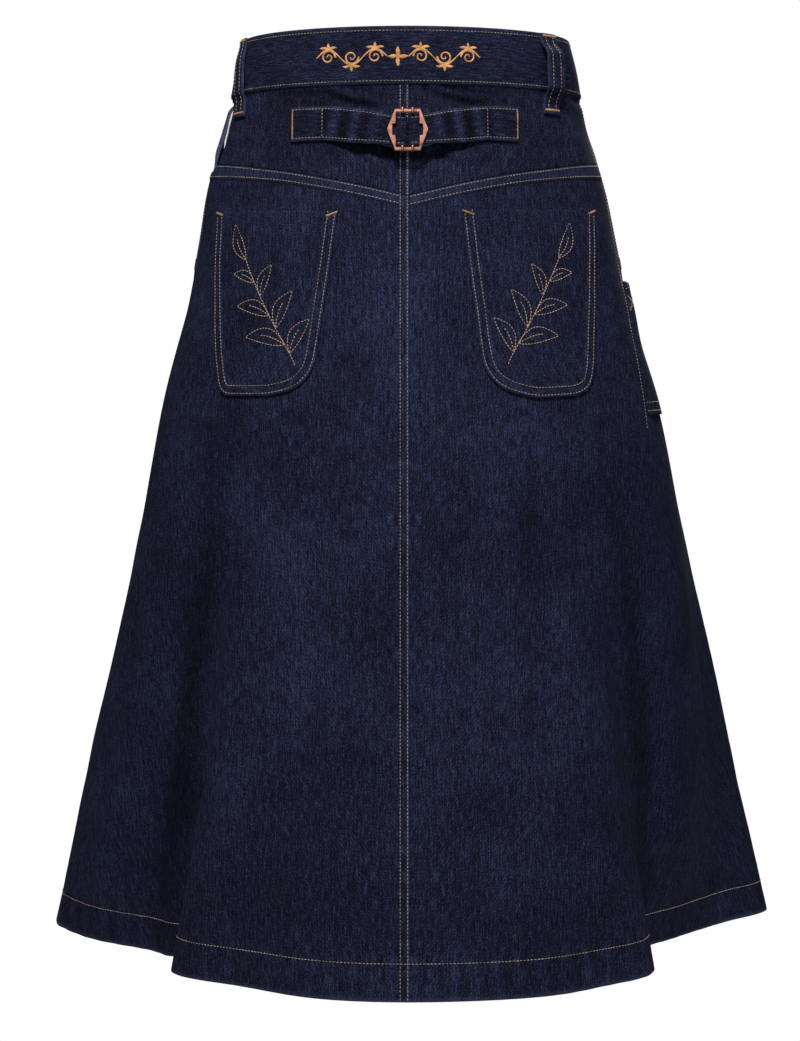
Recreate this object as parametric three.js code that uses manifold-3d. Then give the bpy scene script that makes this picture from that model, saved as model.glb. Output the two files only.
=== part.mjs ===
// Denim midi skirt in its worn, filled-out form: waistband, V yoke, two back and two front
// panels, slant front pockets, back patch pockets, a tool pocket, belt loops and a back cinch.
//
// Millimetres, +Z up. The origin is the centre of the waist opening at mid height of the
// waistband. The back of the skirt faces -Y and the wearer's right is +X.
// An angle on the skirt is in degrees, 0 at centre back, growing toward +X, 180 at centre front.
import * as THREE from 'three';
import { mergeVertices } from 'three/addons/utils/BufferGeometryUtils.js';
import Module from 'manifold-3d';

// Driving dimensions
const BAND_TOP = 25;
const BAND_BOTTOM = -25;
const HEM = -758;
const HEM_TURN_UP = 27;
const CLOTH = 1.6;
const HEM_CLOTH = 3.0;
const SEAM_GAP = 0.3;
const LAY_GAP = 0.4;
const FOLDS_START = -290;

const BAND = { proud: 1.4, thickness: 3.0, underEnd: 20, outerEnd: 18, rampLength: 22 };
const YOKE = { centreZ: -120, sideZ: -83, sweep: 1.25 };
const POCKET_MOUTH = {
  topForward: 40, curve: 1.2, bottomZ: -168, lift: 3.7, fade: 34, gape: 3.0, gapeDown: 0.22,
  gapeSpread: 0.2,
};
const FACING = { underPanel: 24, thickness: 1.6 };
const POCKETING = { width: 14, thickness: 1.0, showing: 1.2, clearance: 0.5 };
const FLY = { right: 30, left: -10, bottomZ: -205, thickness: 2.0 };
const TOOL_POCKET = {
  width: 96, backZ: -189, frontZ: -175, bottomZ: -301, gape: 5.5, gapeShare: 0.55,
};
const STRAP = {
  height: 30, heightAtBar: 27, thickness: 2.2, endZ: -57.5, leftEnd: -96.6, rightEnd: 94,
  stitchedLength: 28, riseLength: 44, tailLength: 17, narrowFrom: 0.6, narrowShare: 0.3,
  closeFrom: 0.18, closeShare: 0.9,
};
const BUCKLE = {
  midX: 1.0, midZ: -66.6, width: 35.8, height: 37.4, flatWidth: 21.6, thickness: 2.2,
  openWidth: 18.8, openHeight: 30.2, notchWidth: 24, notchHeight: 9.6, backClearance: 0.6,
};
const BAR = { radius: 1.4, halfSpacing: 4.2, intoClip: 1, clipWidth: 2.2, clipWall: 0.8 };
const LOOP = { width: 16.5, thickness: 1.8, topZ: 24, bottomZ: -46, tack: 6, rise: 15, step: 8 };
const BUTTON = {
  radius: 8.5, edge: 2.2, dish: 0.5, bevel: 0.8, height: 3.4, shankRadius: 4.2, shankHeight: 1.2,
};

// Sections of the worn skirt: half of its width, its depth behind and before the waist line, and
// how far its sides sway to the wearer's right
const SECTIONS = [
  { z: 25, halfWidth: 141.5, back: 91, front: 90, sway: 0 },
  { z: 0, halfWidth: 147.5, back: 94, front: 93, sway: 0 },
  { z: -25, halfWidth: 152.5, back: 98, front: 97, sway: 0 },
  { z: -60, halfWidth: 160.5, back: 107, front: 102, sway: 0 },
  { z: -100, halfWidth: 172.5, back: 118, front: 108, sway: 0 },
  { z: -150, halfWidth: 181.5, back: 128, front: 115, sway: 0.8 },
  { z: -200, halfWidth: 192, back: 134, front: 121, sway: 1.5 },
  { z: -290, halfWidth: 216.5, back: 146, front: 137, sway: 3.8 },
  { z: -400, halfWidth: 239, back: 166, front: 156, sway: 6 },
  { z: -510, halfWidth: 260, back: 189, front: 176, sway: 5.6 },
  { z: -640, halfWidth: 283, back: 217, front: 202, sway: 2.6 },
  { z: -758, halfWidth: 303, back: 243.5, front: 226, sway: 0 },
];

// Hanging folds: a negative depth is a hollow. Each runs from its top angle to its hem angle,
// with its full depth in mm at the hem, and spreads to the given number of degrees each way.
const FOLDS = [
  { place: 'left back valley', top: -56, hem: -68.4, spread: 15.2, depth: -64.8, growth: 1.15 },
  { place: 'left valley edge', top: -50, hem: -59.4, spread: 3.8, depth: -27.6, growth: 1.9 },
  { place: 'left back hollow', top: -30, hem: -37.6, spread: 15.9, depth: -22.9, growth: 1.6 },
  { place: 'left side ridge', top: -92, hem: -96.2, spread: 6.5, depth: 14.6, growth: 1.4 },
  { place: 'left front ridge', top: -103, hem: -107.1, spread: 9.4, depth: 16.5, growth: 1.3 },
  { place: 'right back valley', top: 58, hem: 71.5, spread: 16.1, depth: -79.4, growth: 1.15 },
  { place: 'right valley edge', top: 52, hem: 61.8, spread: 3.8, depth: -8.1, growth: 1.9 },
  { place: 'right back hollow', top: 34, hem: 41.5, spread: 10.2, depth: -10.8, growth: 1.6 },
  { place: 'right side hollow', top: 86, hem: 88.3, spread: 9.3, depth: -21.6, growth: 1.4 },
  { place: 'right side ridge', top: 97, hem: 103.9, spread: 5.6, depth: 43.3, growth: 1.3 },
  { place: 'right front ridge', top: 108, hem: 114.3, spread: 7.5, depth: 42.9, growth: 1.3 },
  { place: 'right front valley', top: 132, hem: 138.3, spread: 8.1, depth: -23.9, growth: 1.3 },
  { place: 'left front valley', top: -128, hem: -132.5, spread: 9.9, depth: -30.2, growth: 1.3 },
  { place: 'right front swell', top: 150, hem: 150.4, spread: 24.3, depth: 7.1, growth: 1.3 },
  { place: 'left front swell', top: -144, hem: -144.1, spread: 19.7, depth: 7.3, growth: 1.3 },
];

// Side seams swing back over the hip, then forward to the hem
const SIDE_SEAMS = [
  { z: 25, right: 88, left: -88 },
  { z: -85, right: 88.5, left: -88.5 },
  { z: -176, right: 87, left: -86.5 },
  { z: -240, right: 79, left: -82.5 },
  { z: -290, right: 75.2, left: -80.5 },
  { z: -360, right: 73.5, left: -79.5 },
  { z: -420, right: 75.5, left: -80 },
  { z: -484, right: 79.5, left: -82 },
  { z: -568, right: 86, left: -85 },
  { z: -660, right: 90.5, left: -88 },
  { z: -758, right: 95, left: -90 },
];

// Back pockets have their rows closer together toward the rounded bottom
const POCKET_ROW_SPREAD = 1.35;

// Back pockets, row by row: the drop below the mouth, and where the inner and outer side lie,
// measured round the body from centre back
const LEFT_POCKET = {
  innerZ: -133, outerZ: -128, bottomRise: 0,
  rows: [
    { drop: 0, inner: 57, outer: 181 },
    { drop: 42, inner: 63, outer: 181 },
    { drop: 84, inner: 69.5, outer: 177 },
    { drop: 112, inner: 74, outer: 173 },
    { drop: 130, inner: 78, outer: 169.5 },
    { drop: 141, inner: 86, outer: 167 },
    { drop: 148, inner: 98, outer: 164.5 },
    { drop: 152, inner: 118, outer: 159 },
  ],
};
const RIGHT_POCKET = {
  innerZ: -132, outerZ: -127, bottomRise: 2,
  rows: [
    { drop: 0, inner: 46, outer: 178 },
    { drop: 42, inner: 51, outer: 175.5 },
    { drop: 84, inner: 57, outer: 171 },
    { drop: 112, inner: 60.5, outer: 168 },
    { drop: 130, inner: 64.5, outer: 166 },
    { drop: 142, inner: 73, outer: 163 },
    { drop: 150, inner: 87, outer: 158 },
    { drop: 155, inner: 108, outer: 146 },
  ],
};

// Belt loops hang straight down, so their angle changes, and each bows clear of the waistband
const BELT_LOOPS = [
  { top: -81.5, bottom: -73, clearance: 1.2 },
  { top: 67.5, bottom: 62.5, clearance: 7.4 },
  { top: 137, bottom: 138.5, clearance: 3 },
  { top: -137, bottom: -138.5, clearance: 3 },
];

// Finishes
const denim = new THREE.MeshStandardMaterial({ name: 'indigo denim', color: 0x23273f, roughness: 0.9 });
const cotton = new THREE.MeshStandardMaterial({ name: 'white pocketing', color: 0xe6e2da, roughness: 0.9 });
const copper = new THREE.MeshStandardMaterial({
  name: 'copper-plated metal', color: 0xa87260, roughness: 0.35, metalness: 1,
});

const skirt = new THREE.Group();

function addNode(name, geometry, material) {
  const mesh = new THREE.Mesh(geometry, material);
  mesh.name = name;
  skirt.add(mesh);
  return mesh;
}

// Form of the body
const radians = THREE.MathUtils.degToRad;
const lerp = THREE.MathUtils.lerp;
const clamp = THREE.MathUtils.clamp;

function smooth(t) {
  const s = clamp(t, 0, 1);
  return s * s * (3 - 2 * s);
}

// Reads a column of a table whose z falls from row to row, with a smooth curve through the rows
function column(table, key, z, position = 'z') {
  const last = table.length - 1;
  const way = Math.sign(table[last][position] - table[0][position]);
  let i = 0;
  while (i < last - 1 && (z - table[i + 1][position]) * way > 0) i += 1;
  const slopeAt = (k) => {
    const before = table[Math.max(k - 1, 0)];
    const after = table[Math.min(k + 1, last)];
    return (after[key] - before[key]) / (after[position] - before[position]);
  };
  const from = table[i];
  const to = table[i + 1];
  const span = to[position] - from[position];
  const t = clamp((z - from[position]) / span, 0, 1);
  const h = t * t * (3 - 2 * t);
  const bendFrom = t * (1 - t) * (1 - t) * span * slopeAt(i);
  const bendTo = t * t * (t - 1) * span * slopeAt(i + 1);
  return from[key] * (1 - h) + to[key] * h + bendFrom + bendTo;
}

function wrapped(degrees) {
  return ((degrees + 540) % 360) - 180;
}

function radius(angle, z) {
  const side = Math.sin(radians(angle)) / column(SECTIONS, 'halfWidth', z);
  const along = Math.cos(radians(angle));
  const depth = column(SECTIONS, along > 0 ? 'back' : 'front', z);
  let r = 1 / Math.hypot(side, along / depth);
  const t = clamp((FOLDS_START - z) / (FOLDS_START - HEM), 0, 1);
  for (const fold of FOLDS) {
    const away = wrapped(angle - lerp(fold.top, fold.hem, t)) / fold.spread;
    r += fold.depth * t ** fold.growth * Math.exp(-away * away);
  }
  return r;
}

function onBody(angle, z) {
  const r = radius(angle, z);
  const across = Math.sin(radians(angle));
  const sway = column(SECTIONS, 'sway', z) * across * across;
  return new THREE.Vector3(r * across + sway, -r * Math.cos(radians(angle)), z);
}

function outward(angle, z) {
  const stepAngle = 0.4;
  const stepZ = 2;
  const across = onBody(angle + stepAngle, z).sub(onBody(angle - stepAngle, z));
  const up = onBody(angle, Math.min(z + stepZ, BAND_TOP)).sub(onBody(angle, Math.max(z - stepZ, HEM)));
  return across.cross(up).normalize();
}

// The point that lies a given distance out from the body, negative for inside it
function offBody(angle, z, distance) {
  return onBody(angle, z).addScaledVector(outward(angle, z), distance);
}

// The angle that a given length round the body from centre back reaches
const GIRTH_STEP = 0.5;

function angleAlong(length, z) {
  let travelled = 0;
  let angle = 0;
  let point = onBody(0, z);
  while (travelled < length) {
    const next = onBody(angle + GIRTH_STEP, z);
    const step = next.distanceTo(point);
    if (travelled + step >= length) return angle + (GIRTH_STEP * (length - travelled)) / step;
    travelled += step;
    angle += GIRTH_STEP;
    point = next;
  }
  return angle;
}

function degreesFor(length, angle, z) {
  return THREE.MathUtils.radToDeg(length / radius(angle, z));
}

function sideSeam(z, side) {
  return column(SIDE_SEAMS, side > 0 ? 'right' : 'left', z);
}

function yokeSeam(angle) {
  const reach = 1 - clamp(Math.abs(angle) / SIDE_SEAMS[0].right, 0, 1);
  return YOKE.sideZ + (YOKE.centreZ - YOKE.sideZ) * reach ** YOKE.sweep;
}

// A closed wall between an outer and an inner grid of points
function wall(columns, rows, outer, inner) {
  const positions = [];
  const indices = [];
  const index = (layer, i, j) => (layer * (columns + 1) + i) * (rows + 1) + j;
  for (const face of [outer, inner]) {
    for (let i = 0; i <= columns; i += 1) {
      for (let j = 0; j <= rows; j += 1) positions.push(...face(i / columns, j / rows).toArray());
    }
  }
  const quad = (a, b, c, d) => indices.push(a, b, c, a, c, d);
  for (let i = 0; i < columns; i += 1) {
    for (let j = 0; j < rows; j += 1) {
      quad(index(0, i, j), index(0, i, j + 1), index(0, i + 1, j + 1), index(0, i + 1, j));
      quad(index(1, i, j), index(1, i + 1, j), index(1, i + 1, j + 1), index(1, i, j + 1));
    }
    quad(index(0, i, 0), index(0, i + 1, 0), index(1, i + 1, 0), index(1, i, 0));
    quad(index(0, i + 1, rows), index(0, i, rows), index(1, i, rows), index(1, i + 1, rows));
  }
  for (let j = 0; j < rows; j += 1) {
    quad(index(0, 0, j + 1), index(0, 0, j), index(1, 0, j), index(1, 0, j + 1));
    quad(index(0, columns, j), index(0, columns, j + 1), index(1, columns, j + 1), index(1, columns, j));
  }
  const geometry = new THREE.BufferGeometry();
  geometry.setAttribute('position', new THREE.Float32BufferAttribute(positions, 3));
  geometry.setIndex(indices);
  return geometry;
}

// A wall on the body: place(u, v) gives { angle, z, lift, thickness }, with u growing toward +angle
function bodyWall(columns, rows, place) {
  const face = (deep) => (u, v) => {
    const { angle, z, lift = 0, thickness = CLOTH } = place(u, v);
    return offBody(angle, z, deep ? lift - thickness : lift);
  };
  return wall(columns, rows, face(false), face(true));
}

// Angles at which a seam's gap or a facing's width is turned into degrees
const MID_BACK = 45;
const BESIDE = 90;
const MID_FRONT = 135;

// Rows of the long panels, closer together at the top; the last row is the turned-up hem. The
// front's columns are closer together at its side edge.
const ROWS = 20;
const ROW_SPREAD = 1.3;
const COLUMN_SPREAD = 1.4;
const HEM_TOP = HEM + HEM_TURN_UP;

function frontHeight(row) {
  if (row === ROWS) return HEM;
  return lerp(BAND_BOTTOM - SEAM_GAP, HEM_TOP, (row / (ROWS - 1)) ** ROW_SPREAD);
}

// The back panels' rows meet the front's at the side seam and follow the V seam at the top
const BACK_SKIPS = 2;

function backHeight(row, topZ) {
  if (row === 0) return topZ;
  const atSide = frontHeight(row + BACK_SKIPS);
  if (atSide <= HEM_TOP) return atSide;
  return lerp(topZ, HEM_TOP, (YOKE.sideZ - atSide) / (YOKE.sideZ - HEM_TOP));
}

function panelThickness(z) {
  return z < HEM + HEM_TURN_UP + 1 ? HEM_CLOTH : CLOTH;
}

// Yokes, from the waistband down to the V seam
function yoke(side) {
  return bodyWall(16, 4, (u, v) => {
    const s = side > 0 ? u : 1 - u;
    const topZ = BAND_BOTTOM - SEAM_GAP;
    const reach = sideSeam(lerp(topZ, YOKE.sideZ, v), side);
    const trim = degreesFor(SEAM_GAP / 2, MID_BACK, topZ) * side;
    const angle = lerp(trim, reach - trim, s);
    const z = lerp(topZ, yokeSeam(angle) + SEAM_GAP / 2, v);
    return { angle, z };
  });
}

// Back panels, from the V seam to the hem
function backPanel(side) {
  const rows = ROWS - BACK_SKIPS;
  return bodyWall(24, rows, (u, v) => {
    const s = side > 0 ? u : 1 - u;
    const row = Math.round(v * rows);
    const seamZ = backHeight(row, YOKE.sideZ);
    const trim = degreesFor(SEAM_GAP / 2, MID_BACK, seamZ) * side;
    const angle = lerp(trim, sideSeam(seamZ, side) - trim, s);
    const topAngle = lerp(trim, sideSeam(YOKE.sideZ, side) - trim, s);
    const z = backHeight(row, yokeSeam(topAngle) - SEAM_GAP / 2);
    return { angle, z, thickness: panelThickness(z) };
  });
}

// The slant mouth: the front panel's side edge runs from the waistband down to the side seam
function mouthEdge(z, side) {
  const seam = sideSeam(z, side);
  const open = clamp((z - POCKET_MOUTH.bottomZ) / (BAND_BOTTOM - POCKET_MOUTH.bottomZ), 0, 1);
  return seam + side * degreesFor(POCKET_MOUTH.topForward * open ** POCKET_MOUTH.curve, seam, z);
}

// How far the front panel stands off the body near its mouth
function mouthLift(angle, z, side) {
  const below = smooth((z - POCKET_MOUTH.bottomZ + POCKET_MOUTH.fade) / POCKET_MOUTH.fade);
  const across = radians(Math.abs(angle - mouthEdge(z, side))) * radius(angle, z);
  const away = 1 - smooth((across - FACING.underPanel - 2) / POCKET_MOUTH.fade);
  const down = (BAND_BOTTOM - z) / (BAND_BOTTOM - POCKET_MOUTH.bottomZ);
  const inward = 1 - smooth(across / POCKET_MOUTH.fade);
  const fromGape = (down - POCKET_MOUTH.gapeDown) / POCKET_MOUTH.gapeSpread;
  const gape = POCKET_MOUTH.gape * Math.exp(-(fromGape ** 2)) * inward;
  return below * (POCKET_MOUTH.lift * away + gape);
}

function frontPanel(side) {
  return bodyWall(21, ROWS, (u, v) => {
    const s = side > 0 ? u : 1 - u;
    const z = frontHeight(Math.round(v * ROWS));
    const trim = degreesFor(SEAM_GAP / 2, MID_FRONT, z) * side;
    const angle = lerp(mouthEdge(z, side) + trim, 180 * side - trim, s ** COLUMN_SPREAD);
    return { angle, z, lift: mouthLift(angle, z, side), thickness: panelThickness(z) };
  });
}

// Rows of the front panel that its pocketing and facing share
const POCKETING_ROWS = 5;

// The facing under the slant mouth, flush with the yoke and back panel at the side seam
function facing(side) {
  const rows = POCKETING_ROWS + 1;
  return bodyWall(8, rows, (u, v) => {
    const s = side > 0 ? u : 1 - u;
    const row = Math.round(v * rows);
    const z = row === rows ? POCKET_MOUTH.bottomZ + 2 : frontHeight(row);
    const trim = degreesFor(SEAM_GAP / 2, BESIDE, z) * side;
    const inside = mouthEdge(z, side) + side * degreesFor(FACING.underPanel, BESIDE, z);
    const angle = lerp(sideSeam(z, side) + trim, inside, s);
    return { angle, z, thickness: FACING.thickness };
  });
}

// White pocketing that lines the slant mouth and shows as a thin edge
function pocketing(side) {
  return bodyWall(2, POCKETING_ROWS, (u, v) => {
    const s = side > 0 ? u : 1 - u;
    const z = frontHeight(Math.round(v * POCKETING_ROWS));
    const edge = mouthEdge(z, side);
    const back = edge - side * degreesFor(POCKETING.showing, BESIDE, z);
    const angle = lerp(back, edge + side * degreesFor(POCKETING.width, BESIDE, z), s);
    const under = side * Math.max(side * angle, side * edge);
    const lift = mouthLift(under, z, side) - CLOTH - POCKETING.clearance;
    return { angle, z, lift, thickness: POCKETING.thickness };
  });
}

// Waistband: one band whose outer end laps over the inner end at centre front
function waistband() {
  const past = (length) => 180 + degreesFor(length, 180, 0);
  const start = -past(BAND.underEnd);
  const end = past(BAND.outerEnd);
  const lapFrom = past(-BAND.underEnd - 2);
  const rampFrom = past(-BAND.underEnd - 2 - BAND.rampLength);
  return bodyWall(92, 3, (u, v) => {
    const angle = lerp(start, end, u);
    const lap = smooth((angle - rampFrom) / (lapFrom - rampFrom));
    const lift = BAND.proud + lap * (BAND.thickness + LAY_GAP);
    return { angle, z: lerp(BAND_TOP, BAND_BOTTOM, v), lift, thickness: BAND.thickness };
  });
}

// Fly facing behind the centre front
function flyFacing() {
  return bodyWall(4, 8, (u, v) => {
    const z = lerp(BAND_BOTTOM - 3, FLY.bottomZ, v);
    const angle = 180 + degreesFor(lerp(FLY.left, FLY.right, u), 180, z);
    return { angle, z, lift: -CLOTH - LAY_GAP, thickness: FLY.thickness };
  });
}

// Back patch pocket, laid on the panel
function backPocket(side, { innerZ, outerZ, bottomRise, rows }) {
  const bottom = rows[rows.length - 1].drop;
  return bodyWall(10, 12, (u, v) => {
    const s = side > 0 ? u : 1 - u;
    const drop = bottom * (1 - (1 - v) ** POCKET_ROW_SPREAD);
    const inner = column(rows, 'inner', drop, 'drop');
    const outer = column(rows, 'outer', drop, 'drop');
    const z = lerp(innerZ, innerZ + lerp(outerZ - innerZ, bottomRise, v), s) - drop;
    const angle = side * angleAlong(lerp(inner, outer, s), z);
    return { angle, z, lift: CLOTH + LAY_GAP };
  });
}

// A point a given distance off the front panel's outer face, between two of its rows
function offFront(angle, z, distance, side) {
  let row = 0;
  while (frontHeight(row + 1) > z) row += 1;
  const [above, below] = [frontHeight(row), frontHeight(row + 1)];
  const from = offBody(angle, above, mouthLift(angle, above, side) + distance);
  const to = offBody(angle, below, mouthLift(angle, below, side) + distance);
  return from.lerp(to, (above - z) / (above - below));
}

// Tool pocket, sewn into the right side seam and gaping at its mouth
function toolPocket() {
  const face = (deep) => (u, v) => {
    const mouthZ = lerp(TOOL_POCKET.backZ, TOOL_POCKET.frontZ, u);
    const z = lerp(mouthZ, TOOL_POCKET.bottomZ, v);
    const seam = sideSeam(z, 1) + degreesFor(SEAM_GAP, BESIDE, z);
    const angle = seam + degreesFor(TOOL_POCKET.width * u, BESIDE, z);
    const gape = TOOL_POCKET.gape * Math.sin(Math.PI * u) * (1 - smooth(v / TOOL_POCKET.gapeShare));
    return offFront(angle, z, LAY_GAP + gape + (deep ? 0 : CLOTH), 1);
  };
  return wall(10, 9, face(false), face(true));
}

// The point at a given x and height on the back of the body, moved out
function onBack(x, z, distance) {
  let angle = 0;
  for (let i = 0; i < 12; i += 1) {
    angle = THREE.MathUtils.radToDeg(Math.asin(x / radius(angle, z)));
  }
  return offBody(angle, z, distance);
}

// The buckle's own frame: x to the right, y up along the sloping yoke, z away from the body,
// with its bars on z = 0
const turnRadius = BAR.radius + LAY_GAP + STRAP.thickness / 2;
const buckleSlope = Math.atan2(
  onBody(0, BUCKLE.midZ + STRAP.height / 2).y - onBody(0, BUCKLE.midZ - STRAP.height / 2).y,
  STRAP.height,
);
const barDistance = turnRadius + STRAP.thickness / 2 + BUCKLE.backClearance;
const buckleTurn = Math.PI / 2 - buckleSlope;
const bucklePlace = new THREE.Vector3(
  BUCKLE.midX, onBody(0, BUCKLE.midZ).y - barDistance, BUCKLE.midZ,
);

function fromBuckle(x, y, z) {
  return new THREE.Vector3(x, y, z).applyAxisAngle(new THREE.Vector3(1, 0, 0), buckleTurn).add(bucklePlace);
}

// Cinch strap: a ribbon stitched on the yoke that stands off toward the buckle, passes behind
// the frame, turns round its bar and ends behind itself
function strap(side) {
  const end = side > 0 ? STRAP.rightEnd : STRAP.leftEnd;
  const runSteps = 14;
  const turnSteps = 8;
  const tailSteps = 4;
  const steps = runSteps + turnSteps + tailSteps;
  const barX = side * BAR.halfSpacing;
  const place = (step, v, off) => {
    const run = Math.min(step / runSteps, 1);
    const narrowed = smooth((run - STRAP.narrowFrom) / STRAP.narrowShare);
    const h = (0.5 - v) * lerp(STRAP.height, STRAP.heightAtBar, narrowed);
    const ringRadius = turnRadius + off;
    if (step <= runSteps) {
      const x = lerp(end, barX + BUCKLE.midX, run);
      const free = smooth((Math.abs(end - x) - STRAP.stitchedLength) / STRAP.riseLength);
      const seated = onBack(x, STRAP.endZ + h, LAY_GAP + STRAP.thickness / 2 + off);
      return seated.lerp(fromBuckle(x - BUCKLE.midX, h, ringRadius), free);
    }
    if (step <= runSteps + turnSteps) {
      const turn = (Math.PI * (step - runSteps)) / turnSteps;
      return fromBuckle(barX - side * ringRadius * Math.sin(turn), h, ringRadius * Math.cos(turn));
    }
    const back = (step - runSteps - turnSteps) / tailSteps;
    const closing = smooth((back - STRAP.closeFrom) / STRAP.closeShare);
    const close = (2 * turnRadius - STRAP.thickness - LAY_GAP) * closing;
    return fromBuckle(barX + side * back * STRAP.tailLength, h, close - ringRadius);
  };
  const face = (off) => (u, v) => place(Math.round((side > 0 ? 1 - u : u) * steps), v, off);
  return wall(steps, 3, face(STRAP.thickness / 2), face(-STRAP.thickness / 2));
}

function placedAtBuckle(mesh) {
  mesh.position.copy(bucklePlace);
  mesh.rotation.x = buckleTurn;
  return mesh;
}

// Buckle frame: a hexagon plate with a notched opening
const frameBack = turnRadius + STRAP.thickness / 2 + LAY_GAP;

function buckleFrame() {
  const outline = new THREE.Shape();
  const [w, f, h] = [BUCKLE.width / 2, BUCKLE.flatWidth / 2, BUCKLE.height / 2];
  outline.moveTo(-w, 0);
  outline.lineTo(-f, -h);
  outline.lineTo(f, -h);
  outline.lineTo(w, 0);
  outline.lineTo(f, h);
  outline.lineTo(-f, h);
  outline.closePath();
  const [ow, oh] = [BUCKLE.openWidth / 2, BUCKLE.openHeight / 2];
  const [nw, nh] = [BUCKLE.notchWidth / 2, BUCKLE.notchHeight / 2];
  const corners = [
    [ow, oh], [ow, nh], [nw, nh], [nw, -nh], [ow, -nh], [ow, -oh],
    [-ow, -oh], [-ow, -nh], [-nw, -nh], [-nw, nh], [-ow, nh], [-ow, oh],
  ];
  outline.holes.push(new THREE.Path(corners.map(([x, y]) => new THREE.Vector2(x, y))));
  const plate = new THREE.ExtrudeGeometry(outline, { depth: BUCKLE.thickness, bevelEnabled: false });
  return plate.translate(0, 0, frameBack);
}

// Buckle bar: a round bar with a clip at each end that hooks round the frame
const wasm = await Module();
wasm.setup();

function solid(geometry) {
  const bare = geometry.clone();
  bare.deleteAttribute('normal');
  bare.deleteAttribute('uv');
  const merged = mergeVertices(bare, 1e-4);
  return new wasm.Manifold(new wasm.Mesh({
    numProp: 3,
    vertProperties: new Float32Array(merged.attributes.position.array),
    triVerts: new Uint32Array(merged.index.array),
  }));
}

function geometryOf(body) {
  const { vertProperties, triVerts } = body.getMesh();
  const geometry = new THREE.BufferGeometry();
  geometry.setAttribute('position', new THREE.Float32BufferAttribute(vertProperties, 3));
  geometry.setIndex(Array.from(triVerts));
  return geometry;
}

function buckleBar(side) {
  const [inner, outer] = [BUCKLE.openHeight / 2, BUCKLE.height / 2];
  const around = SEAM_GAP + BAR.clipWall;
  const clip = new THREE.Shape();
  const front = frameBack + BUCKLE.thickness;
  clip.moveTo(-BAR.radius, inner - around);
  clip.lineTo(front + around, inner - around);
  clip.lineTo(front + around, outer + around);
  clip.lineTo(-BAR.radius, outer + around);
  clip.closePath();
  const hole = [
    [frameBack - SEAM_GAP, inner - SEAM_GAP], [frameBack - SEAM_GAP, outer + SEAM_GAP],
    [front + SEAM_GAP, outer + SEAM_GAP], [front + SEAM_GAP, inner - SEAM_GAP],
  ];
  clip.holes.push(new THREE.Path(hole.map(([x, y]) => new THREE.Vector2(x, y))));
  const upper = new THREE.ExtrudeGeometry(clip, { depth: BAR.clipWidth, bevelEnabled: false });
  // The clip's outline is drawn with its depth along x, so a quarter turn brings it behind the frame
  upper.rotateY(-Math.PI / 2).translate(BAR.clipWidth / 2, 0, 0);
  const lower = upper.clone().rotateZ(Math.PI);
  const rod = new THREE.CylinderGeometry(BAR.radius, BAR.radius, 2 * (inner + BAR.intoClip), 16);
  const joined = solid(rod).add(solid(upper)).add(solid(lower));
  return geometryOf(joined).translate(side * BAR.halfSpacing, 0, 0);
}

// Belt loop: a strip tacked on the band and below it, bowed out between
function beltLoop({ top, bottom, clearance }) {
  return bodyWall(2, 16, (u, v) => {
    const z = lerp(LOOP.topZ, LOOP.bottomZ, v);
    const hang = lerp(top, bottom, v);
    const toEnd = Math.min(LOOP.topZ - z, z - LOOP.bottomZ) - LOOP.tack;
    const bow = clearance * smooth(toEnd / LOOP.rise);
    const seat = BAND.proud * smooth((z - BAND_BOTTOM + LOOP.step) / LOOP.step);
    return {
      angle: hang + degreesFor((u - 0.5) * LOOP.width, hang, z),
      z,
      lift: seat + LAY_GAP + bow + LOOP.thickness,
      thickness: LOOP.thickness,
    };
  });
}

// Waist button: a turned cap on a short shank
function waistButton() {
  const top = BUTTON.shankHeight + BUTTON.height;
  const { radius: r, bevel, shankRadius, shankHeight } = BUTTON;
  const ring = r - BUTTON.edge;
  const dished = top - BUTTON.dish;
  const profile = [
    [0, 0], [shankRadius, 0], [shankRadius, shankHeight], [r - bevel, shankHeight],
    [r, shankHeight + bevel], [r, top - bevel], [r - bevel, top], [ring, top],
    [ring - bevel, dished], [0, dished],
  ];
  return new THREE.LatheGeometry(profile.map(([x, y]) => new THREE.Vector2(x, y)), 28);
}

const SIDES = [['left', -1], ['right', 1]];

addNode('waistband', waistband(), denim);
for (const [name, side] of SIDES) {
  addNode(`yoke_${name}`, yoke(side), denim);
  addNode(`back_${name}`, backPanel(side), denim);
  addNode(`front_${name}`, frontPanel(side), denim);
  addNode(`facing_${name}`, facing(side), denim);
  addNode(`pocketing_${name}`, pocketing(side), cotton);
  addNode(`strap_${name}`, strap(side), denim);
  placedAtBuckle(addNode(`buckle_bar_${name}`, buckleBar(side), copper));
}
addNode('back_pocket_left', backPocket(-1, LEFT_POCKET), denim);
addNode('back_pocket_right', backPocket(1, RIGHT_POCKET), denim);
addNode('tool_pocket', toolPocket(), denim);
addNode('fly_facing', flyFacing(), denim);
placedAtBuckle(addNode('buckle_frame', buckleFrame(), copper));
BELT_LOOPS.forEach((row, i) => addNode(`belt_loop_${i + 1}`, beltLoop(row), denim));

// The button sits on the outer end of the band at centre front
const button = addNode('waist_button', waistButton(), copper);
button.position.copy(offBody(180, 0, BAND.proud + BAND.thickness + LAY_GAP + SEAM_GAP));
button.quaternion.setFromUnitVectors(new THREE.Vector3(0, 1, 0), outward(180, 0));

export default skirt;
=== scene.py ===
"""Dark indigo denim midi skirt in its worn form, seen from behind.

Lengths are in millimetres until a mesh is made, which is in metres. +Z is up, the back of the
skirt faces -Y and the wearer's right is +X. An angle on the skirt is in degrees, 0 at centre
back, growing toward +X, 180 at centre front.
"""
import logging
import math
from dataclasses import dataclass, field
from enum import Enum
from typing import Sequence

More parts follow.
